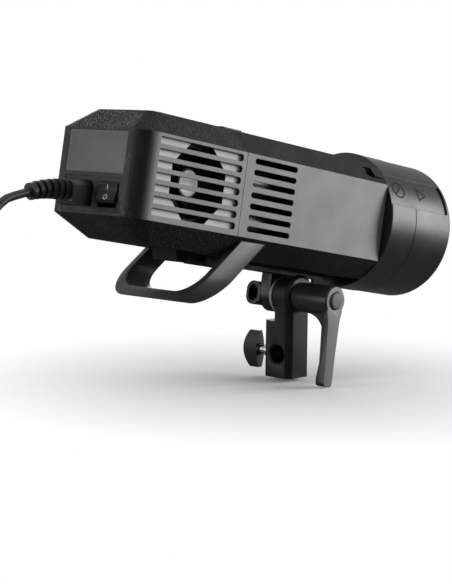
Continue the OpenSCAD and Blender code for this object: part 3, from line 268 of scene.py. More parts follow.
# The part of a noise's range that is used, and the mottle's scale as a share of the grain's
NOISE_SPAN = (0.3, 0.7)
MOTTLE_SCALE = 0.03


@functools.cache
def mould_grain() -> Tree:
    """Spark-eroded grain of a moulding: a fine height and a broad mottle.

    Returns:
        The shared group.
    """
    nodes, given, put = new_group(
        "mould_grain", {"Scale": 900.0}, {"Height": Kind.VALUE, "Mottle": Kind.VALUE}
    )
    place = nodes.place()
    fine = nodes.noise(place, given["Scale"], detail=2.0)
    scale = nodes.math("MULTIPLY", given["Scale"], MOTTLE_SCALE)
    broad = nodes.noise(place, scale, detail=3.0)
    nodes.feed(put, Height=nodes.spread(fine, *NOISE_SPAN), Mottle=nodes.spread(broad, *NOISE_SPAN))
    return nodes.tree


@functools.cache
def edge_wear() -> Tree:
    """Softened edges: a rounded normal and a broken mask where handling has polished an edge.

    Returns:
        The shared group.
    """
    nodes, given, put = new_group(
        "edge_wear", {"Radius": 0.0005}, {"Mask": Kind.VALUE, "Normal": Kind.VECTOR}
    )
    edge_span, break_scale, break_span = (0.02, 0.22), 160.0, (0.3, 0.62)
    bevel = nodes.feed(nodes.add("Bevel", samples=6), Radius=given["Radius"])
    turn = nodes.dot(bevel.outputs[0], nodes.add("NewGeometry").outputs["Normal"])
    edge = nodes.spread(nodes.math("SUBTRACT", 1.0, turn), *edge_span)
    broken = nodes.spread(nodes.noise(nodes.place(), break_scale, detail=4.0), *break_span)
    nodes.feed(put, Mask=nodes.math("MULTIPLY", edge, broken), Normal=bevel.outputs[0])
    return nodes.tree


@functools.cache
def fine_scuffs() -> Tree:
    """Hair-fine scuffs from being carried in a bag.

    Returns:
        The shared group.
    """
    nodes, given, put = new_group("fine_scuffs", {"Scale": 60.0}, {"Mask": Kind.VALUE})
    hair_turn, hair_draw, hair_span = (0.5, 0.9, 0.3), (1.0, 14.0, 1.0), (0.016, 0.004)
    middle, patch_scale, patch_span = 0.5, 26.0, (0.52, 0.7)
    place = nodes.place()
    mapped = nodes.feed(nodes.add("Mapping"), Vector=place, Rotation=hair_turn, Scale=hair_draw)
    hair = nodes.noise(mapped.outputs[0], given["Scale"], detail=3.0)
    line = nodes.spread(nodes.math("ABSOLUTE", nodes.math("SUBTRACT", hair, middle)), *hair_span)
    patch = nodes.spread(nodes.noise(place, patch_scale, detail=2.0), *patch_span)
    nodes.feed(put, Mask=nodes.math("MULTIPLY", line, patch))
    return nodes.tree


@functools.cache
def turned_lines() -> Tree:
    """Fine lines left by turning or brushing, drawn out along one axis.

    Returns:
        The shared group.
    """
    nodes, given, put = new_group(
        "turned_lines", {"Scale": 300.0, "Draw": (1.0, 1.0, 1.0)}, {"Height": Kind.VALUE}
    )
    drawn = nodes.vector("MULTIPLY", nodes.place(), given["Draw"])
    lines = nodes.noise(drawn.outputs[0], given["Scale"], detail=3.0)
    nodes.feed(put, Height=nodes.spread(lines, *NOISE_SPAN))
    return nodes.tree


# The grey that worn colours tend to
WORN_GREY = 0.35


@dataclass(frozen=True)
class Finish:
    """A moulded or painted finish with grain, mottle, scuffs and polished edges."""

    colour: Colour
    roughness: float
    grain_mm: float = 0.9
    relief_mm: float = 0.03
    mottle: float = 0.25
    fleck: float = 0.35
    fleck_shade: float = 1.6
    gloss_spread: float = 0.1
    wear: float = 0.25
    marked: float = 0.6
    edge_mm: float = 0.5
    specular: float = 0.5
    # glow: emission in the finish's own colour, painted light on a part that is no lamp
    glow: float = 0.0

    @functools.cache
    def material(self, name: str) -> Material:
        """Builds the finish's material once.

        Args:
            name: The material's name.

        Returns:
            The material.
        """
        material = bpy.data.materials.new(name)
        material.use_nodes = True
        material.diffuse_color = (*self.colour, 1.0)
        nodes = Nodes(material.node_tree)
        nodes.feed(nodes.shader(), Specular_IOR_Level=self.specular)
        if self.glow:
            nodes.feed(
                nodes.shader(), Emission_Color=(*self.colour, 1.0), Emission_Strength=self.glow
            )
        self.paint(nodes)
        return material

    def shade(self, factor: float) -> Colour:
        """The finish's colour, lightened or darkened."""
        return tuple(min(1.0, part * factor) for part in self.colour)

    def worn(self, nodes: Nodes, tone: Socket, base: Colour) -> tuple[Socket, Socket]:
        """Lays scuffs and polished edges over a tone.

        Args:
            nodes: The material's tree.
            tone: The colour without wear.
            base: The colour that wear makes paler.

        Returns:
            The worn colour and the normal with softened edges.
        """
        wear = nodes.group(edge_wear(), Radius=self.edge_mm * MM)
        scuff = nodes.group(fine_scuffs())
        marks = nodes.math("MAXIMUM", wear["Mask"], scuff["Mask"])
        pale = tuple(part + self.wear * (WORN_GREY - part) for part in base)
        return nodes.mix(nodes.math("MULTIPLY", marks, self.marked), tone, pale), wear["Normal"]

    def paint(self, nodes: Nodes) -> None:
        """Shades the plain finish.

        Args:
            nodes: The material's tree.
        """
        grain = nodes.group(mould_grain(), Scale=1.0 / (self.grain_mm * MM))
        body = nodes.mix(grain["Mottle"], self.shade(1.0 - self.mottle), self.shade(1.0 + self.mottle))
        fleck = nodes.math("MULTIPLY", grain["Height"], self.fleck)
        tone = nodes.mix(fleck, body, self.shade(self.fleck_shade))
        colour, normal = self.worn(nodes, tone, self.colour)
        least = self.roughness - self.gloss_spread / 2
        rough = nodes.math("MULTIPLY_ADD", grain["Mottle"], self.gloss_spread, least)
        bump = nodes.bump(grain["Height"], self.relief_mm, normal)
        nodes.feed(nodes.shader(), Base_Color=colour, Roughness=rough, Normal=bump)


@dataclass(frozen=True)
class Moulding(Finish):
    """A large moulding: satin flat sides, a plain rear face and grained slopes, with painted sheen:
    each gets its own tone by the way it faces the lights.
    """

    marked: float = 0.35
    dim_share: float = 0.5
    fine_strength: float = 0.5
    # side and rear are painted sheen: lit tones for the flat sides and the rear face, laid over the
    # slopes' own colour
    side: Colour = (0.295, 0.295, 0.297)
    rear: Colour = (0.05, 0.05, 0.051)
    side_roughness: float = 0.42
    corner_span: Pair = (0.5, 1.0)
    corner_fall: float = 3.0
    # corner_mm: the distances from the middle plane over which the painted sheen comes in on round
    # corners
    corner_mm: Pair | None = None
    wall_span: Pair = (0.1, 0.3)
    rear_span: Pair = (0.9, 0.99)
    slope_span: Pair = (0.4, 0.15)
    slope_grain_mm: float = 1.9
    slope_relief_mm: float = 0.7
    slope_shades: Pair = (0.1, 3.0)

    def painted_sheen_zones(self, nodes: Nodes) -> tuple[Socket, ...]:
        """Masks for the painted sheen: the flat sides, the rear face and the slopes, by the way each
        surface faces.

        On round corners the painted sheen comes in by the distance from the middle plane, where it is
        given.

        Args:
            nodes: The material's tree.

        Returns:
            The side mask, the rear mask and the slope mask.
        """
        own = nodes.add(
            "VectorTransform", vector_type="NORMAL", convert_from="WORLD", convert_to="OBJECT"
        )
        true = nodes.add("NewGeometry").outputs["True Normal"]
        facing = nodes.feed(own, Vector=true).outputs[0]
        axes = LAMP.to_3x3()
        across, along, up = (nodes.dot(facing, axis) for axis in axes.col)
        upright = nodes.spread(nodes.math("ABSOLUTE", up), *self.slope_span)
        outward = nodes.math("ABSOLUTE", across)
        turn = nodes.spread(outward, *self.corner_span)
        if self.corner_mm:
            off = nodes.math("ABSOLUTE", nodes.dot(nodes.place(), axes.col[0]))
            reach = nodes.spread(off, *(part * MM for part in self.corner_mm))
            turn = nodes.math("MULTIPLY", reach, nodes.spread(outward, *self.wall_span))
        side = nodes.math("MULTIPLY", upright, nodes.math("POWER", turn, self.corner_fall))
        return side, nodes.spread(along, *self.rear_span), nodes.math("SUBTRACT", 1.0, upright)

    def paint(self, nodes: Nodes) -> None:
        """Shades the moulding.

        Args:
            nodes: The material's tree.
        """
        side, rear, sloped = self.painted_sheen_zones(nodes)
        fine = nodes.group(mould_grain(), Scale=1.0 / (self.grain_mm * MM))
        coarse = nodes.group(mould_grain(), Scale=1.0 / (self.slope_grain_mm * MM))["Height"]
        slope = nodes.mix(coarse, *map(self.shade, self.slope_shades))
        # painted sheen: the flat sides and the rear face take their lit tones
        upright = nodes.mix(side, nodes.mix(rear, self.colour, self.rear), self.side)
        tone = nodes.mix(sloped, upright, slope)
        dim = nodes.mix(self.dim_share, tone, grey(0.0))
        mottled = nodes.mix(nodes.math("MULTIPLY", fine["Mottle"], self.mottle), tone, dim)
        colour, normal = self.worn(nodes, mottled, self.side)
        satin = nodes.math("MULTIPLY_ADD", side, self.side_roughness - self.roughness, self.roughness)
        rough = nodes.math("MULTIPLY_ADD", fine["Mottle"], self.gloss_spread, satin)
        grained = nodes.bump(fine["Height"], self.relief_mm, normal, self.fine_strength)
        bump = nodes.bump(nodes.math("MULTIPLY", coarse, sloped), self.slope_relief_mm, grained)
        nodes.feed(nodes.shader(), Base_Color=colour, Roughness=rough, Normal=bump)


# The length after which a wave texture of scale 1 repeats
WAVE_LENGTH = 0.314


@dataclass(frozen=True)
class Woven(Finish):
    """A woven strap: threads that cross over and under, with a matt fuzz."""

    pitch_mm: float = 1.1
    uneven: float = 0.6
    fuzz_scale: float = 2400.0
    fuzz_share: float = 0.35
    thread_shades: Pair = (0.5, 2.0)

    def paint(self, nodes: Nodes) -> None:
        """Shades the strap.

        Args:
            nodes: The material's tree.
        """
        place = nodes.place()
        scale = WAVE_LENGTH / (self.pitch_mm * MM)
        waves = []
        for direction in ("Y", "Z"):
            wave = nodes.add("TexWave", bands_direction=direction)
            nodes.feed(wave, Vector=place, Scale=scale, Distortion=self.uneven, Detail=1.0)
            waves.append(wave.outputs["Fac"])
        thread = nodes.math("MULTIPLY", *waves)
        fuzz = nodes.noise(place, self.fuzz_scale, detail=2.0)
        height = nodes.math("MULTIPLY_ADD", fuzz, self.fuzz_share, thread)
        nodes.feed(
            nodes.shader(), Base_Color=nodes.mix(height, *map(self.shade, self.thread_shades)),
            Roughness=nodes.math("MULTIPLY_ADD", fuzz, self.gloss_spread, self.roughness),
            Normal=nodes.bump(height, self.relief_mm),
        )


@dataclass(frozen=True)
class Metal(Finish):
    """Bare metal with the fine lines of its machining."""

    draw: Triple = (1.0, 1.0, 1.0)
    lines_mm: float = 0.25
    lines_strength: float = 0.6
    stain_scale: float = 90.0
    stain_span: Pair = (0.35, 0.7)
    stain_share: float = 0.3
    stain_shade: float = 0.72
    edge_shade: float = 1.25

    def paint(self, nodes: Nodes) -> None:
        """Shades the metal.

        Args:
            nodes: The material's tree.
        """
        nodes.feed(nodes.shader(), Metallic=1.0)
        scale = 1.0 / (self.lines_mm * MM)
        lines = nodes.group(turned_lines(), Scale=scale, Draw=self.draw)["Height"]
        wear = nodes.group(edge_wear(), Radius=self.edge_mm * MM)
        stain = nodes.spread(nodes.noise(nodes.place(), self.stain_scale, detail=4.0), *self.stain_span)
        tone = nodes.mix(lines, self.shade(1.0 - self.mottle), self.colour)
        dulled = nodes.mix(
            nodes.math("MULTIPLY", stain, self.stain_share), tone, self.shade(self.stain_shade)
        )
        edge = nodes.math("MULTIPLY", wear["Mask"], self.wear)
        bright = nodes.mix(edge, dulled, self.shade(self.edge_shade))
        least = self.roughness - self.gloss_spread / 2
        rough = nodes.math("MULTIPLY_ADD", lines, self.gloss_spread, least)
        bump = nodes.bump(lines, self.relief_mm, wear["Normal"], self.lines_strength)
        nodes.feed(nodes.shader(), Base_Color=bright, Roughness=rough, Normal=bump)


@dataclass(frozen=True)
class Clear(Finish):
    """Glass or clear plastic with faint smears."""

    ior: float = 1.47
    smear_scale: float = 70.0
    smear_span: Pair = (0.4, 0.75)
    smear_shade: float = 0.94

    def paint(self, nodes: Nodes) -> None:
        """Shades the glass.

        Args:
            nodes: The material's tree.
        """
        nodes.feed(nodes.shader(), Transmission_Weight=1.0, IOR=self.ior)
        smear = nodes.spread(nodes.noise(nodes.place(), self.smear_scale, detail=4.0), *self.smear_span)
        nodes.feed(
            nodes.shader(),
            Roughness=nodes.math("MULTIPLY_ADD", smear, self.gloss_spread, self.roughness),
            Base_Color=nodes.mix(smear, self.colour, self.shade(self.smear_shade)),
        )


class Finishes(Enum):
    """Every finish on the strobe, most of them named like the record's slot."""

    body_black = Moulding(
        (0.013, 0.013, 0.014), 0.5, grain_mm=0.7, relief_mm=0.05, specular=0.14,
        slope_grain_mm=1.4, slope_relief_mm=0.25, slope_shades=(0.4, 1.8),
    )
    # shell_black: corner_mm brings the painted sheen in over its round rear corners
    shell_black = Moulding(
        (0.018, 0.018, 0.019), 0.5, grain_mm=0.7, relief_mm=0.05, specular=0.14,
        corner_mm=(48.0, 52.0), slope_shades=(0.08, 2.3),
    )
    collar_black = Finish((0.01, 0.01, 0.011), 0.36, grain_mm=0.8, relief_mm=0.015, specular=0.38)
    strap_black = Finish((0.046, 0.046, 0.047), 0.4, relief_mm=0.008, edge_mm=1.0, specular=0.36)
    bracket_black = Finish((0.011, 0.011, 0.012), 0.4, grain_mm=0.6, relief_mm=0.03, specular=0.26)
    # lever_grey: the light side tone is painted sheen on the lever's flat faces, and the darker rear
    # tone is painted shade
    lever_grey = Moulding(
        (0.02, 0.02, 0.021), 0.34, relief_mm=0.012, edge_mm=0.9, specular=0.4,
        side=(0.19, 0.19, 0.192), rear=(0.012, 0.012, 0.013), slope_grain_mm=0.8, slope_relief_mm=0.012,
    )
    steel = Metal((0.62, 0.62, 0.63), 0.26, relief_mm=0.004)
    dark_screw = Metal((0.2, 0.2, 0.21), 0.36, relief_mm=0.004)
    grey_washer = Finish((0.3, 0.31, 0.32), 0.45, relief_mm=0.01)
    brass = Metal((0.86, 0.66, 0.36), 0.34, relief_mm=0.004)
    rubber_black = Finish((0.012, 0.012, 0.012), 0.7, grain_mm=0.5, specular=0.15)
    tie_black = Woven((0.016, 0.016, 0.018), 0.8, relief_mm=0.12, specular=0.1)
    cord_black = Finish((0.026, 0.026, 0.027), 0.42, grain_mm=0.6, relief_mm=0.012)
    baffle_grey = Finish((0.58, 0.59, 0.59), 0.5, grain_mm=0.8, mottle=0.06, wear=0.1)
    # duct_pale: only faces that turn sideways show the pale tone; the other faces are darkened as
    # painted shade
    duct_pale = Moulding(
        (0.02, 0.02, 0.021), 0.5, side=(0.58, 0.59, 0.59), rear=(0.02, 0.02, 0.021),
        side_roughness=0.5, slope_relief_mm=0.01, slope_shades=(0.8, 1.2), wear=0.1,
    )
    label_pale = Finish((0.86, 0.87, 0.87), 0.35, grain_mm=0.8, mottle=0.1, wear=0.0)
    fan_black = Finish((0.01, 0.01, 0.011), 0.45, relief_mm=0.01, specular=0.2)
    board_green = Finish((0.012, 0.1, 0.045), 0.35, grain_mm=2.2, relief_mm=0.05)
    parts_mixed = Finish((0.36, 0.26, 0.08), 0.5, grain_mm=1.6, relief_mm=0.04)
    can_black = Finish((0.02, 0.022, 0.028), 0.28, relief_mm=0.006)
    copper = Metal((0.55, 0.25, 0.12), 0.35, draw=(1.0, 1.0, 9.0), lines_mm=4.0)
    aluminium = Metal((0.8, 0.81, 0.82), 0.22, relief_mm=0.003)
    ceramic = Finish((0.72, 0.7, 0.65), 0.42, relief_mm=0.015, mottle=0.06, wear=0.0)
    tube_glass = Clear((0.93, 0.97, 0.98), 0.02, gloss_spread=0.06)
    led_cream = Finish((0.75, 0.66, 0.36), 0.3, relief_mm=0.01, mottle=0.1, wear=0.0)
    panel_black = Finish((0.016, 0.016, 0.017), 0.36, grain_mm=0.6, relief_mm=0.012, specular=0.25)
    window_clear = Clear((0.8, 0.84, 0.82), 0.03, gloss_spread=0.05)
    # display_grey's glow is painted light, in place of the light that the clear window keeps off the
    # display
    display_grey = Finish((0.25, 0.3, 0.22), 0.4, mottle=0.08, wear=0.0, glow=0.5)
    key_grey = Finish((0.08, 0.081, 0.083), 0.55, grain_mm=0.5, relief_mm=0.012)
    switch_black = Finish((0.012, 0.012, 0.013), 0.3, grain_mm=0.5, relief_mm=0.008, specular=0.22)
    contact_gold = Metal((0.7, 0.52, 0.22), 0.25, relief_mm=0.003)
    socket_black = Finish((0.011, 0.011, 0.012), 0.36, grain_mm=0.5, relief_mm=0.01, specular=0.22)

    def dress(self, *names: str) -> None:
        """Gives CAD nodes this finish.

        Args:
            *names: The nodes.
        """
        for name in names:
            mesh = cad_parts[name].data
            mesh.materials.clear()
            mesh.materials.append(self.value.material(self.name))
            log.info("dressed %s in %s", name, self.name)

    def coat(self, piece: Piece, slot: str = "") -> Piece:
        """Gives a new piece this finish.

        Args:
            piece: The piece.
            slot: Not used.

        Returns:
            The same piece.
        """
        piece.data.materials.clear()
        piece.data.materials.append(self.value.material(self.name))
        return piece


class Bench:
    """The workbench: starts, shapes and finishes pieces with Blender's own operators."""

    # How straight a face has to point along Z to count as a top or bottom
    FACING = 0.9

    @staticmethod
    def taken(name: str) -> Piece:
        """The piece that an operator has just made, with its name."""
        bpy.context.active_object.name = bpy.context.active_object.data.name = name
        return bpy.context.active_object

    @staticmethod
    def pick(piece: Piece, test: Callable[[bpy.types.MeshPolygon], bool]) -> None:
        """Selects the faces that pass a test, and nothing else.

        Args:
            piece: The piece, in object mode.
            test: Says whether a face is taken.
        """
        mesh = piece.data
        for parts in (mesh.vertices, mesh.edges):
            parts.foreach_set("select", [False] * len(parts))
        for face in mesh.polygons:
            face.select = test(face)

    @staticmethod
    def edit(*steps: Callable[[], object]) -> None:
        """Runs edit-mode operators on the active piece's selected faces.

        Args:
            *steps: The operators to run in order.
        """
        bpy.ops.object.mode_set(mode="EDIT")
        bpy.ops.mesh.select_mode(type="FACE")
        for step in steps:
            step()
        bpy.ops.object.mode_set(mode="OBJECT")

    @staticmethod
    def every(piece: Piece) -> None:
        """Selects every face of a piece, and the piece alone.

        Args:
            piece: The piece, which becomes the active one.
        """
        bpy.ops.object.select_all(action="DESELECT")
        piece.select_set(True)
        bpy.context.view_layer.objects.active = piece
        Bench.pick(piece, lambda face: True)

    @staticmethod
    def modify(piece: Piece, kind: str, **settings: object) -> None:
        """Adds a modifier and applies it.

        Args:
            piece: The piece.
            kind: The modifier's type.
            **settings: Attributes to set on it.
        """
        Bench.every(piece)
        modifier = piece.modifiers.new(kind.lower(), kind)
        for name, value in settings.items():
            setattr(modifier, name, value)
        bpy.ops.object.modifier_apply(modifier=modifier.name)

    @staticmethod
    def soften(piece: Piece, width_mm: float, angle: float = 35.0) -> None:
        """Rounds a piece's sharp edges and smooths what is left.

        Args:
            piece: The piece.
            width_mm: The bevel's width.
            angle: The least angle, in degrees, that counts as sharp.
        """
        Bench.modify(
            piece, "BEVEL", width=width_mm * MM, segments=3, limit_method="ANGLE",
            angle_limit=math.radians(angle),
        )
        bpy.ops.object.shade_smooth_by_angle(angle=math.radians(angle))

    @staticmethod
    def plate(name: str, width: float, height: float, thick: float) -> Piece:
        """Starts a plate that lies on its origin, facing +Z.

        Args:
            name: The piece's name.
            width: Its size along X in millimetres.
            height: Its size along Y.
            thick: Its size along Z.

        Returns:
            The piece.
        """
        bpy.ops.mesh.primitive_cube_add(size=1.0)
        piece = Bench.taken(name)
        piece.data.transform(
            Matrix.Diagonal((width * MM, height * MM, thick * MM, 1.0))
            @ Matrix.Translation((0.0, 0.0, 0.5))
        )
        return piece

    @staticmethod
    def disc(name: str, radius: float, thick: float, sides: int = 48) -> Piece:
        """Starts a flat disc, or a plate with few sides, that lies on its origin and faces +Z.

        Args:
            name: The piece's name.
            radius: Its radius in millimetres.
            thick: Its thickness.
            sides: Its number of sides.

        Returns:
            The piece.
        """
        bpy.ops.mesh.primitive_cylinder_add(vertices=sides, radius=radius * MM, depth=thick * MM)
        piece = Bench.taken(name)
        piece.data.transform(moved(0.0, 0.0, thick / 2))
        return piece

    @staticmethod
    def ring(name: str, radius: float, band: float, thick: float) -> Piece:
        """Makes a flat ring from a disc: both faces inset, their middles bridged.

        Args:
            name: The piece's name.
            radius: Its outer radius in millimetres.
            band: The width of its band.
            thick: Its thickness.

        Returns:
            The piece.
        """
        piece = Bench.disc(name, radius, thick)
        Bench.pick(piece, lambda face: abs(face.normal.z) > Bench.FACING)
        Bench.edit(
            lambda: bpy.ops.mesh.inset(thickness=band * MM, use_individual=True),
            lambda: bpy.ops.mesh.bridge_edge_loops(),
        )
        return piece

    @staticmethod
    def press(piece: Piece, *steps: Pair) -> None:
        """Insets a plate's top face by steps of a width and a rise in millimetres."""
        Bench.pick(piece, lambda face: face.normal.z > Bench.FACING)
        Bench.edit(*(
            functools.partial(bpy.ops.mesh.inset, thickness=width * MM, depth=rise * MM)
            for width, rise in steps
        ))

    @staticmethod
    def copy(piece: Piece, name: str) -> Piece:
        """Copies a piece with its own mesh.

        Args:
            piece: The piece to copy.
            name: The copy's name.

        Returns:
            The copy.
        """
        twin = bpy.data.objects.new(name, piece.data.copy())
        twin.data.name = name
        bpy.context.scene.collection.objects.link(twin)
        return twin

    @staticmethod
    def rounded(node: str, body: str, width_mm: float) -> Piece:
        """Makes a merged copy of a solid with rounded edges, which stands for it.

        Args:
            node: The solid.
            body: The body that carries it.
            width_mm: The width of the rounding.

        Returns:
            The copy.
        """
        piece = Bench.copy(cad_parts[node], f"{node}_rounded")
        Bench.every(piece)
        Bench.edit(
            lambda: bpy.ops.mesh.remove_doubles(threshold=1e-6),
            lambda: bpy.ops.mesh.dissolve_limited(angle_limit=math.radians(0.5)),
        )
        Bench.soften(piece, width_mm)
        Bench.finish(piece, Matrix.Identity(4), body)
        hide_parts(node)
        return piece

    @staticmethod
    def finish(piece: Piece, place: Matrix, body: str) -> Piece:
        """Puts a piece where it belongs and lets it ride there.

        Args:
            piece: The piece, modelled in its own frame.
            place: The transform to the row frame.
            body: The CAD body that carries it.

        Returns:
            The same piece.
        """
        piece.data.transform(place @ piece.matrix_world)
        piece.matrix_world = Matrix.Identity(4)
        log.info("made %s on %s", piece.name, body)
        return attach(piece, body)


@dataclass
class Stage:
    """Pale floor, soft lights, white surroundings and the photograph's camera."""

    eye: Triple = (-1.0147, 1.1605, 0.2576)
    ahead: Triple = (0.6803, -0.7233, -0.1180)
    up: Triple = (0.089, -0.078, 0.993)
    lens: float = 106.48
    sensor: float = 36.0
    aim: Triple = (0.0, 0.05, 0.13)
    ambient: float = 0.16
    gloss_white: float = 0.45
    floor_drop: float = 0.0006
    floor_light: float = 0.25
    floor_seen: float = 0.88
    floor_fade: Pair = (0.0, 0.3)
    boxes: tuple[tuple[str, Triple, float, float], ...] = (
        ("front_right_box", (-1.2, -1.45, 0.42), 1.2, 44.0),
        ("top_box", (-0.1, 0.1, 1.7), 1.0, 2.8),
        ("rear_left_box", (0.8, 1.85, 0.36), 0.7, 16.0),
        ("front_left_box", (1.4, -1.1, 0.5), 1.1, 14.0),
    )

    def camera(self) -> None:
        """Stands the camera where the photograph was taken."""
        back = -Vector(self.ahead).normalized()
        side = Vector(self.up).cross(back).normalized()
        top = back.cross(side)
        data = bpy.data.cameras.new("camera")
        data.sensor_fit, data.sensor_width, data.lens = "AUTO", self.sensor, self.lens
        camera = bpy.data.objects.new("camera", data)
        turn = Matrix((side, top, back)).transposed().to_4x4()
        camera.matrix_world = Matrix.Translation(self.eye) @ turn
        bpy.context.scene.collection.objects.link(camera)
        bpy.context.scene.camera = camera

    def softbox(self, name: str, place: Triple, size: float, watts: float) -> None:
        """Hangs a square softbox that faces the lamp.

        Args:
            name: Its name.
            place: Its centre in metres.
            size: Its side in metres.
            watts: Its power.
        """
        data = bpy.data.lights.new(name, "AREA")
        data.shape, data.size, data.energy = "SQUARE", size, watts
        lamp = bpy.data.objects.new(name, data)
        turn = (Vector(self.aim) - Vector(place)).to_track_quat("-Z", "Y").to_matrix().to_4x4()
        lamp.matrix_world = Matrix.Translation(place) @ turn
        bpy.context.scene.collection.objects.link(lamp)

    def seen_white(self, nodes: Nodes) -> Socket:
        """One where a ray comes from the camera or through glass, less where it comes from a gloss.

        Args:
            nodes: The world's tree.

        Returns:
            The share of white.
        """
        path = nodes.add("LightPath").outputs
        gloss = nodes.math("MULTIPLY", path["Is Glossy Ray"], self.gloss_white)
        seen = nodes.math("MAXIMUM", path["Is Camera Ray"], gloss)
        return nodes.math("MAXIMUM", seen, path["Is Transmission Ray"])

    def surroundings(self) -> None:
        """White to the eye, and an even grey as light."""
        world = bpy.data.worlds.new("surroundings")
        world.use_nodes = True
        nodes = Nodes(world.node_tree)
        colour = nodes.mix(self.seen_white(nodes), grey(self.ambient), grey(1.0))
        nodes.feed(nodes.tree.nodes["Background"], Color=colour, Strength=1.0)
        bpy.context.scene.world = world

    def floor(self) -> None:
        """A pale floor that keeps the shadow and fades to white."""
        low = CAD_BOX[0][2] - self.floor_drop
        bpy.ops.mesh.primitive_grid_add(
            x_subdivisions=8, y_subdivisions=8, size=8.0, location=(0.0, 0.0, low)
        )
        floor = Bench.taken("floor")
        material = bpy.data.materials.new("pale_floor")
        material.use_nodes = True
        nodes = Nodes(material.node_tree)
        seen = nodes.add("LightPath").outputs["Is Camera Ray"]
        shade = nodes.mix(seen, grey(self.floor_light), grey(self.floor_seen))
        pale = nodes.feed(nodes.shader(), Base_Color=shade, Roughness=0.9, Specular_IOR_Level=0.0)
        glow = nodes.feed(nodes.add("Emission"), Strength=1.0)
        far = nodes.vector("LENGTH", nodes.place()).outputs["Value"]
        fade = nodes.math("MULTIPLY", nodes.spread(far, *self.floor_fade), seen)
        mixed = nodes.feed(nodes.add("MixShader"), fade, pale.outputs[0], glow.outputs[0])
        nodes.feed(nodes.tree.nodes["Material Output"], Surface=mixed.outputs[0])
        floor.data.materials.append(material)

    def build(self) -> None:
        """Sets the whole stage."""
        bpy.context.scene.view_settings.view_transform = "Standard"
        self.camera()
        self.surroundings()
        self.floor()
        for box in self.boxes:
            self.softbox(*box)


@dataclass
class MainsLead:
    """The lead: hanging run, tied coil and moulded plug, on the mains unit."""

    diameter: float = 0.007
    start_mm: Triple = (15.3, 290.274, 174.904)
    run_heading: float = math.radians(-10.0)
    run_steps: tuple[Pair, ...] = (
        (14.5, 2.6), (22, 4.4), (28, 7.9), (33.5, 12.4), (38, 18.4), (41, 24.9), (42.5, 31.9),
        (43, 39.4), (43, 47.4), (43, 56.4), (43, 65.4), (43, 74.4), (43, 83.4),
    )
    coil_radius: float = 0.052
    coil_turns: int = 7
    turn_step: float = 0.0078
    layer_change: float = 0.5
    steps_a_turn: int = 48
    tail: float = 0.017
    body: str = "mains_unit"
    rounds: tuple[tuple[str, float], ...] = (
        ("cord_connector", 0.8), ("coil_tie", 0.45), ("mains_plug", 0.8),
    )

    @property
    def start(self) -> Vector:
        """Where the lead leaves the relief."""
        return mm(*self.start_mm)

    def coil_point(self, turn: float) -> Vector:
        """A point on the coil's middle line.

        Args:
            turn: How many turns along the coil.

        Returns:
            The point in the row frame.
        """
        radius = self.coil_radius - self.turn_step * min(turn, self.coil_turns - turn)
        past = (turn - self.coil_turns / 2) / self.layer_change + 0.5
        layer = self.turn_step * max(0.0, min(1.0, past))
        angle = math.tau * turn
        side, up = -radius * math.cos(angle), -radius * math.sin(angle)
        return self.centre() + Vector((layer, side, up))

    def centre(self) -> Vector:
        """The coil's middle."""
        out, down = self.run_steps[-1]
        return self.start + Vector((0.0, out * MM + self.coil_radius, -down * MM - self.diameter))

    def route(self) -> list[Vector]:
        """The lead's middle line from the relief to the plug.

        Returns:
            Its points in the row frame.
        """
        ahead = Vector((0.0, math.cos(self.run_heading), math.sin(self.run_heading)))
        points = [self.start, self.start + self.diameter * ahead]
        points += [self.start + mm(0.0, out, -down) for out, down in self.run_steps]
        count = self.coil_turns * self.steps_a_turn
        points += [self.coil_point(i / self.steps_a_turn) for i in range(count + 1)]
        points.append(points[-1] - Vector((0.0, 0.0, self.tail)))
        return points

    def build(self) -> None:
        """Makes the lead in place of the CAD run and coil, and dresses and rounds the pieces on it."""
        points = self.route()
        curve = bpy.data.curves.new("mains_lead", "CURVE")
        curve.dimensions, curve.bevel_depth, curve.bevel_resolution = "3D", self.diameter / 2, 4
        curve.use_fill_caps = True
        line = curve.splines.new("POLY")
        line.points.add(len(points) - 1)
        for knot, point in zip(line.points, points):
            knot.co = (*point, 1.0)
        lead = bpy.data.objects.new("mains_lead", curve)
        bpy.context.scene.collection.objects.link(lead)
        line.use_smooth = True
        Finishes.cord_black.coat(lead)
        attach(lead, self.body)
        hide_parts("cord_run", "cord_coil")
        Finishes.cord_black.dress("connector_relief", "cord_connector", "mains_plug")
        Finishes.tie_black.dress("coil_tie")
        Finishes.steel.dress("plug_pins")
        rounded = [Bench.rounded(name, self.body, width) for name, width in self.rounds]


@dataclass
class Dressing:
    """The finishes of the CAD nodes: each row is a finish and the nodes that wear it."""

    rows: tuple[str, ...] = (
        "body_black housing_right housing_left",
        "shell_black mains_shell mains_front_plate",
        "collar_black front_collar front_cap",
        "strap_black carry_handle",
        "bracket_black stand_receiver tilt_bracket knob_bar",
        "lever_grey clamp_lever",
        "steel knob_screw pivot_stud bayonet_ring inlet_pins",
        "dark_screw bracket_screws handle_screws housing_screws",
        "grey_washer friction_washer equipment_tray",
        "brass brass_washer",
        "rubber_black body_skid rear_skid",
        "duct_pale vent_baffle",
        "fan_black fan_frame fan_rotor",
        "board_green main_board mains_board",
        "parts_mixed mains_parts",
        "can_black capacitor_bank",
        "copper discharge_coil",
        "aluminium front_reflector",
        "ceramic tube_base",
        "tube_glass flash_tube",
        "led_cream modelling_led",
        "panel_black control_panel release_button",
        "window_clear display_window",
        "display_grey display_module",
        "key_grey panel_button_1 panel_button_2 panel_button_3 panel_button_4 "
        "select_dial set_button lever_button",
        "switch_black switch_frame rocker mount_latch",
        "contact_gold body_contacts pack_contacts",
        "socket_black inlet_socket port_sockets",
    )

    def build(self) -> None:
        """Dresses each node."""
        for row in self.rows:
            finish, *nodes = row.split()
            Finishes[finish].dress(*nodes)


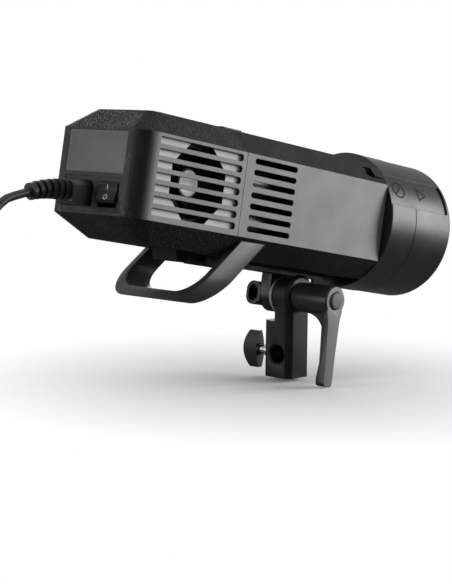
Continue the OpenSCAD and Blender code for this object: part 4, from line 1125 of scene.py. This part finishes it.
@dataclass
class SoftEdges:
    """Copies of castings and mouldings whose edges are really rounded, in place of the solids."""

    widths: tuple[tuple[str, str, float], ...] = (
        ("stand_receiver", "receiver", 0.8),
        ("tilt_bracket", "lamp", 0.8),
        ("carry_handle", "lamp", 1.8),
        ("clamp_lever", "lever", 0.9),
        ("lever_button", "lever_push", 0.4),
    )

    def build(self) -> None:
        """Makes each copy."""
        for node, body, width in self.widths:
            Bench.rounded(node, body, width)


@dataclass
class SwitchMarks:
    """The bar and the ring on the rocker's hollow face."""

    pivot_mm: Triple = (-20.0, 110.0, -18.5)
    turn: float = math.radians(9.0)
    hollow_y: float = 27.6
    hollow_r: float = 16.0
    places: Pair = (4.0, -4.2)
    proud: float = 0.12
    bar: Pair = (0.9, 4.4)
    ring: Pair = (2.3, 0.75)
    thick: float = 0.4
    soft: float = 0.12

    def place(self, up: float) -> Matrix:
        """The frame of a mark at a height on the hollow face, +Z out of the face.

        Args:
            up: The height above the rocker's middle in millimetres.

        Returns:
            The transform to the row frame.
        """
        lean = math.asin(up / self.hollow_r)
        face = self.hollow_y - math.sqrt(self.hollow_r ** 2 - up ** 2)
        rocker = LAMP @ moved(*self.pivot_mm) @ turned(self.turn, "X")
        return rocker @ moved(0.0, face - self.proud, up) @ turned(-QUARTER - lean, "X")

    def build(self) -> None:
        """Makes both marks."""
        bar = Bench.plate("switch_bar", *self.bar, self.thick)
        ring = Bench.ring("switch_ring", *self.ring, self.thick)
        for mark, up in zip((bar, ring), self.places):
            Bench.soften(mark, self.soft)
            Finishes.baffle_grey.coat(Bench.finish(mark, self.place(up), "power_rocker"))


@dataclass
class MainsTrim:
    """The bare pale disc on the fan's hub and the bare plate in the rear recess."""

    hub_mm: Triple = (-38.0, 51.5, 1.0)
    hub_size: Pair = (10.6, 0.4)
    hub_steps: tuple[Pair, ...] = ((1.1, 0.0), (0.4, -0.15))
    plate_mm: Triple = (0.0, 119.2, 15.6)
    plate_size: Triple = (67.4, 33.8, 0.5)
    plate_steps: tuple[Pair, ...] = ((1.2, 0.0), (0.4, -0.12), (0.4, 0.12))
    soft: float = 0.1

    def hub_disc(self) -> None:
        """Makes the pale disc with a pressed rim."""
        disc = Bench.disc("fan_disc", *self.hub_size)
        Bench.press(disc, *self.hub_steps)
        Bench.soften(disc, self.soft)
        place = LAMP @ moved(*self.hub_mm) @ turned(-QUARTER, "Y")
        Finishes.label_pale.coat(Bench.finish(disc, place, "fan"), "baffle_grey")

    def rear_plate(self) -> None:
        """Makes the bare plate with a fine border."""
        plate = Bench.plate("rear_plate", *self.plate_size)
        Bench.press(plate, *self.plate_steps)
        Bench.soften(plate, self.soft)
        place = LAMP @ moved(*self.plate_mm) @ turned(-QUARTER, "X")
        Finishes.key_grey.coat(Bench.finish(plate, place, "mains_unit"))

    def build(self) -> None:
        """Makes both pieces."""
        self.hub_disc()
        self.rear_plate()


@dataclass
class HeadMarks:
    """The closing marks on the collar and the cap, a barred ring and a triangle: engraved lines, made
    as thin raised skins in a dark matt finish that is painted shade for the grooves.
    """

    ahead: Pair = (204.5, 238.5)
    up: float = math.radians(31.5)
    start_r: float = 66.0
    ring_r: float = 8.8
    ring_sides: int = 48
    bar_turn: float = math.radians(45.0)
    triangle_r: float = 9.0
    band: float = 1.4
    skin: float = 0.16

    def place(self, ahead: float) -> Matrix:
        """The frame of a mark so far before the seam, +X ahead, +Y up, +Z off the axis."""
        turn = turned(-QUARTER + self.up, "Y") @ turned(-QUARTER, "Z")
        return LAMP @ moved(0.0, -ahead, 0.0) @ turn @ moved(0.0, 0.0, self.start_r)

    def wrap(self, mark: Piece, node: str, ahead: float, body: str) -> None:
        """Lays a flat mark on the head's curve and gives it a skin.

        Args:
            mark: The mark, flat on its origin.
            node: The solid that it lies on.
            ahead: How far before the seam it is.
            body: The body that carries it.
        """
        mark.matrix_world = self.place(ahead)
        Bench.every(mark)
        Bench.edit(lambda: bpy.ops.mesh.subdivide(number_cuts=2))
        Bench.modify(
            mark, "SHRINKWRAP", target=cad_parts[node], wrap_method="NEAREST_SURFACEPOINT",
            wrap_mode="ABOVE_SURFACE", offset=self.skin * MM / 2,
        )
        Bench.modify(mark, "SOLIDIFY", thickness=self.skin * MM, offset=0.0)
        # the dark matt coat is painted shade, standing for the shadow in the engraved line
        Finishes.rubber_black.coat(Bench.finish(mark, Matrix.Identity(4), body))

    def flat(self, name: str, radius: float, sides: int) -> Piece:
        """Makes a flat outline: a filled circle inset by the band, its middle taken out.

        Args:
            name: The piece's name.
            radius: Its outer radius.
            sides: Its number of sides.

        Returns:
            The piece.
        """
        bpy.ops.mesh.primitive_circle_add(vertices=sides, radius=radius * MM, fill_type="NGON")
        mark = Bench.taken(name)
        Bench.edit(
            lambda: bpy.ops.mesh.inset(thickness=self.band * MM),
            lambda: bpy.ops.mesh.delete(type="FACE"),
        )
        return mark

    def bar(self) -> Piece:
        """Makes the bar across the ring."""
        bpy.ops.mesh.primitive_grid_add(x_subdivisions=12, y_subdivisions=1, size=1.0)
        bar = Bench.taken("collar_bar")
        long = 2.0 * (self.ring_r - self.band)
        stretch = Matrix.Diagonal((long * MM, self.band * MM, 1.0, 1.0))
        bar.data.transform(turned(self.bar_turn, "Z") @ stretch)
        return bar

    def build(self) -> None:
        """Makes the marks."""
        collar, cap = self.ahead
        ring = self.flat("collar_ring", self.ring_r, self.ring_sides)
        self.wrap(ring, "front_collar", collar, "lamp")
        self.wrap(self.bar(), "front_collar", collar, "lamp")
        triangle = self.flat("cap_triangle", self.triangle_r, sides=3)
        triangle.data.transform(turned(-QUARTER, "Z"))
        self.wrap(triangle, "front_cap", cap, "cap")


@dataclass
class PanelMarks:
    """Plain shapes on the keys, ticks round the dial and its pointer."""

    face_x: float = 52.6
    key_x: float = 54.2
    dial_x: float = 62.0
    key_yz: Pair = (-52.0, -20.0)
    key_pitch: float = 13.0
    key_r: float = 1.7
    key_band: float = 0.5
    key_dash: Pair = (2.8, 0.7)
    key_dot_r: float = 1.1
    key_soft: float = 0.06
    dial_yz: Pair = (-108.0, 5.0)
    tick: Pair = (0.6, 2.4)
    tick_r: float = 15.6
    ticks: int = 11
    sweep: float = math.radians(270.0)
    pointer: Pair = (0.9, 4.2)
    pointer_r: float = 9.2
    dial_soft: float = 0.08
    thick: float = 0.2

    def place(self, x: float, y: float, z: float) -> Matrix:
        """The frame of a mark at a point of the left side, +Z outwards and +Y up."""
        return LAMP @ moved(x, y, z) @ turned(QUARTER, "Z") @ turned(QUARTER, "X")

    def keys(self) -> None:
        """Gives each key its shape."""
        shapes = (
            Bench.disc("key_mark_1", self.key_r, self.thick, sides=3),
            Bench.ring("key_mark_2", self.key_r, self.key_band, self.thick),
            Bench.plate("key_mark_3", *self.key_dash, self.thick),
            Bench.disc("key_mark_4", self.key_dot_r, self.thick, sides=24),
        )
        middle = (len(shapes) - 1) / 2
        for i, mark in enumerate(shapes):
            Bench.soften(mark, self.key_soft)
            along = (middle - i) * self.key_pitch
            spot = self.place(self.key_x, self.key_yz[0] + along, self.key_yz[1])
            Finishes.baffle_grey.coat(Bench.finish(mark, spot, f"key_{i + 1}"))

    def dial(self) -> None:
        """Rings the dial with ticks and gives it a pointer."""
        tick = Bench.plate("dial_tick_0", *self.tick, self.thick)
        Bench.soften(tick, self.dial_soft)
        twins = [tick] + [Bench.copy(tick, f"dial_tick_{i}") for i in range(1, self.ticks)]
        for i, twin in enumerate(twins):
            turn = turned(self.sweep * (0.5 - i / (self.ticks - 1)), "Z")
            spot = self.place(self.face_x, *self.dial_yz) @ turn @ moved(0.0, self.tick_r, 0.0)
            Finishes.baffle_grey.coat(Bench.finish(twin, spot, "lamp"))
        pointer = Bench.plate("dial_pointer", *self.pointer, self.thick)
        Bench.soften(pointer, self.dial_soft)
        spot = self.place(self.dial_x, *self.dial_yz) @ moved(0.0, self.pointer_r, 0.0)
        Finishes.baffle_grey.coat(Bench.finish(pointer, spot, "dial"))

    def build(self) -> None:
        """Makes all the marks."""
        self.keys()
        self.dial()


def main() -> None:
    """Builds the stage, the lead, the finishes and the marks in order."""
    logging.basicConfig(level=logging.INFO, format="%(message)s")
    parts = (
        Stage(), MainsLead(), Dressing(), SoftEdges(), SwitchMarks(), MainsTrim(), HeadMarks(),
        PanelMarks(),
    )
    for part in parts:
        log.info("building %s", type(part).__name__)
        part.build()


if __name__ == "__main__":
    main()
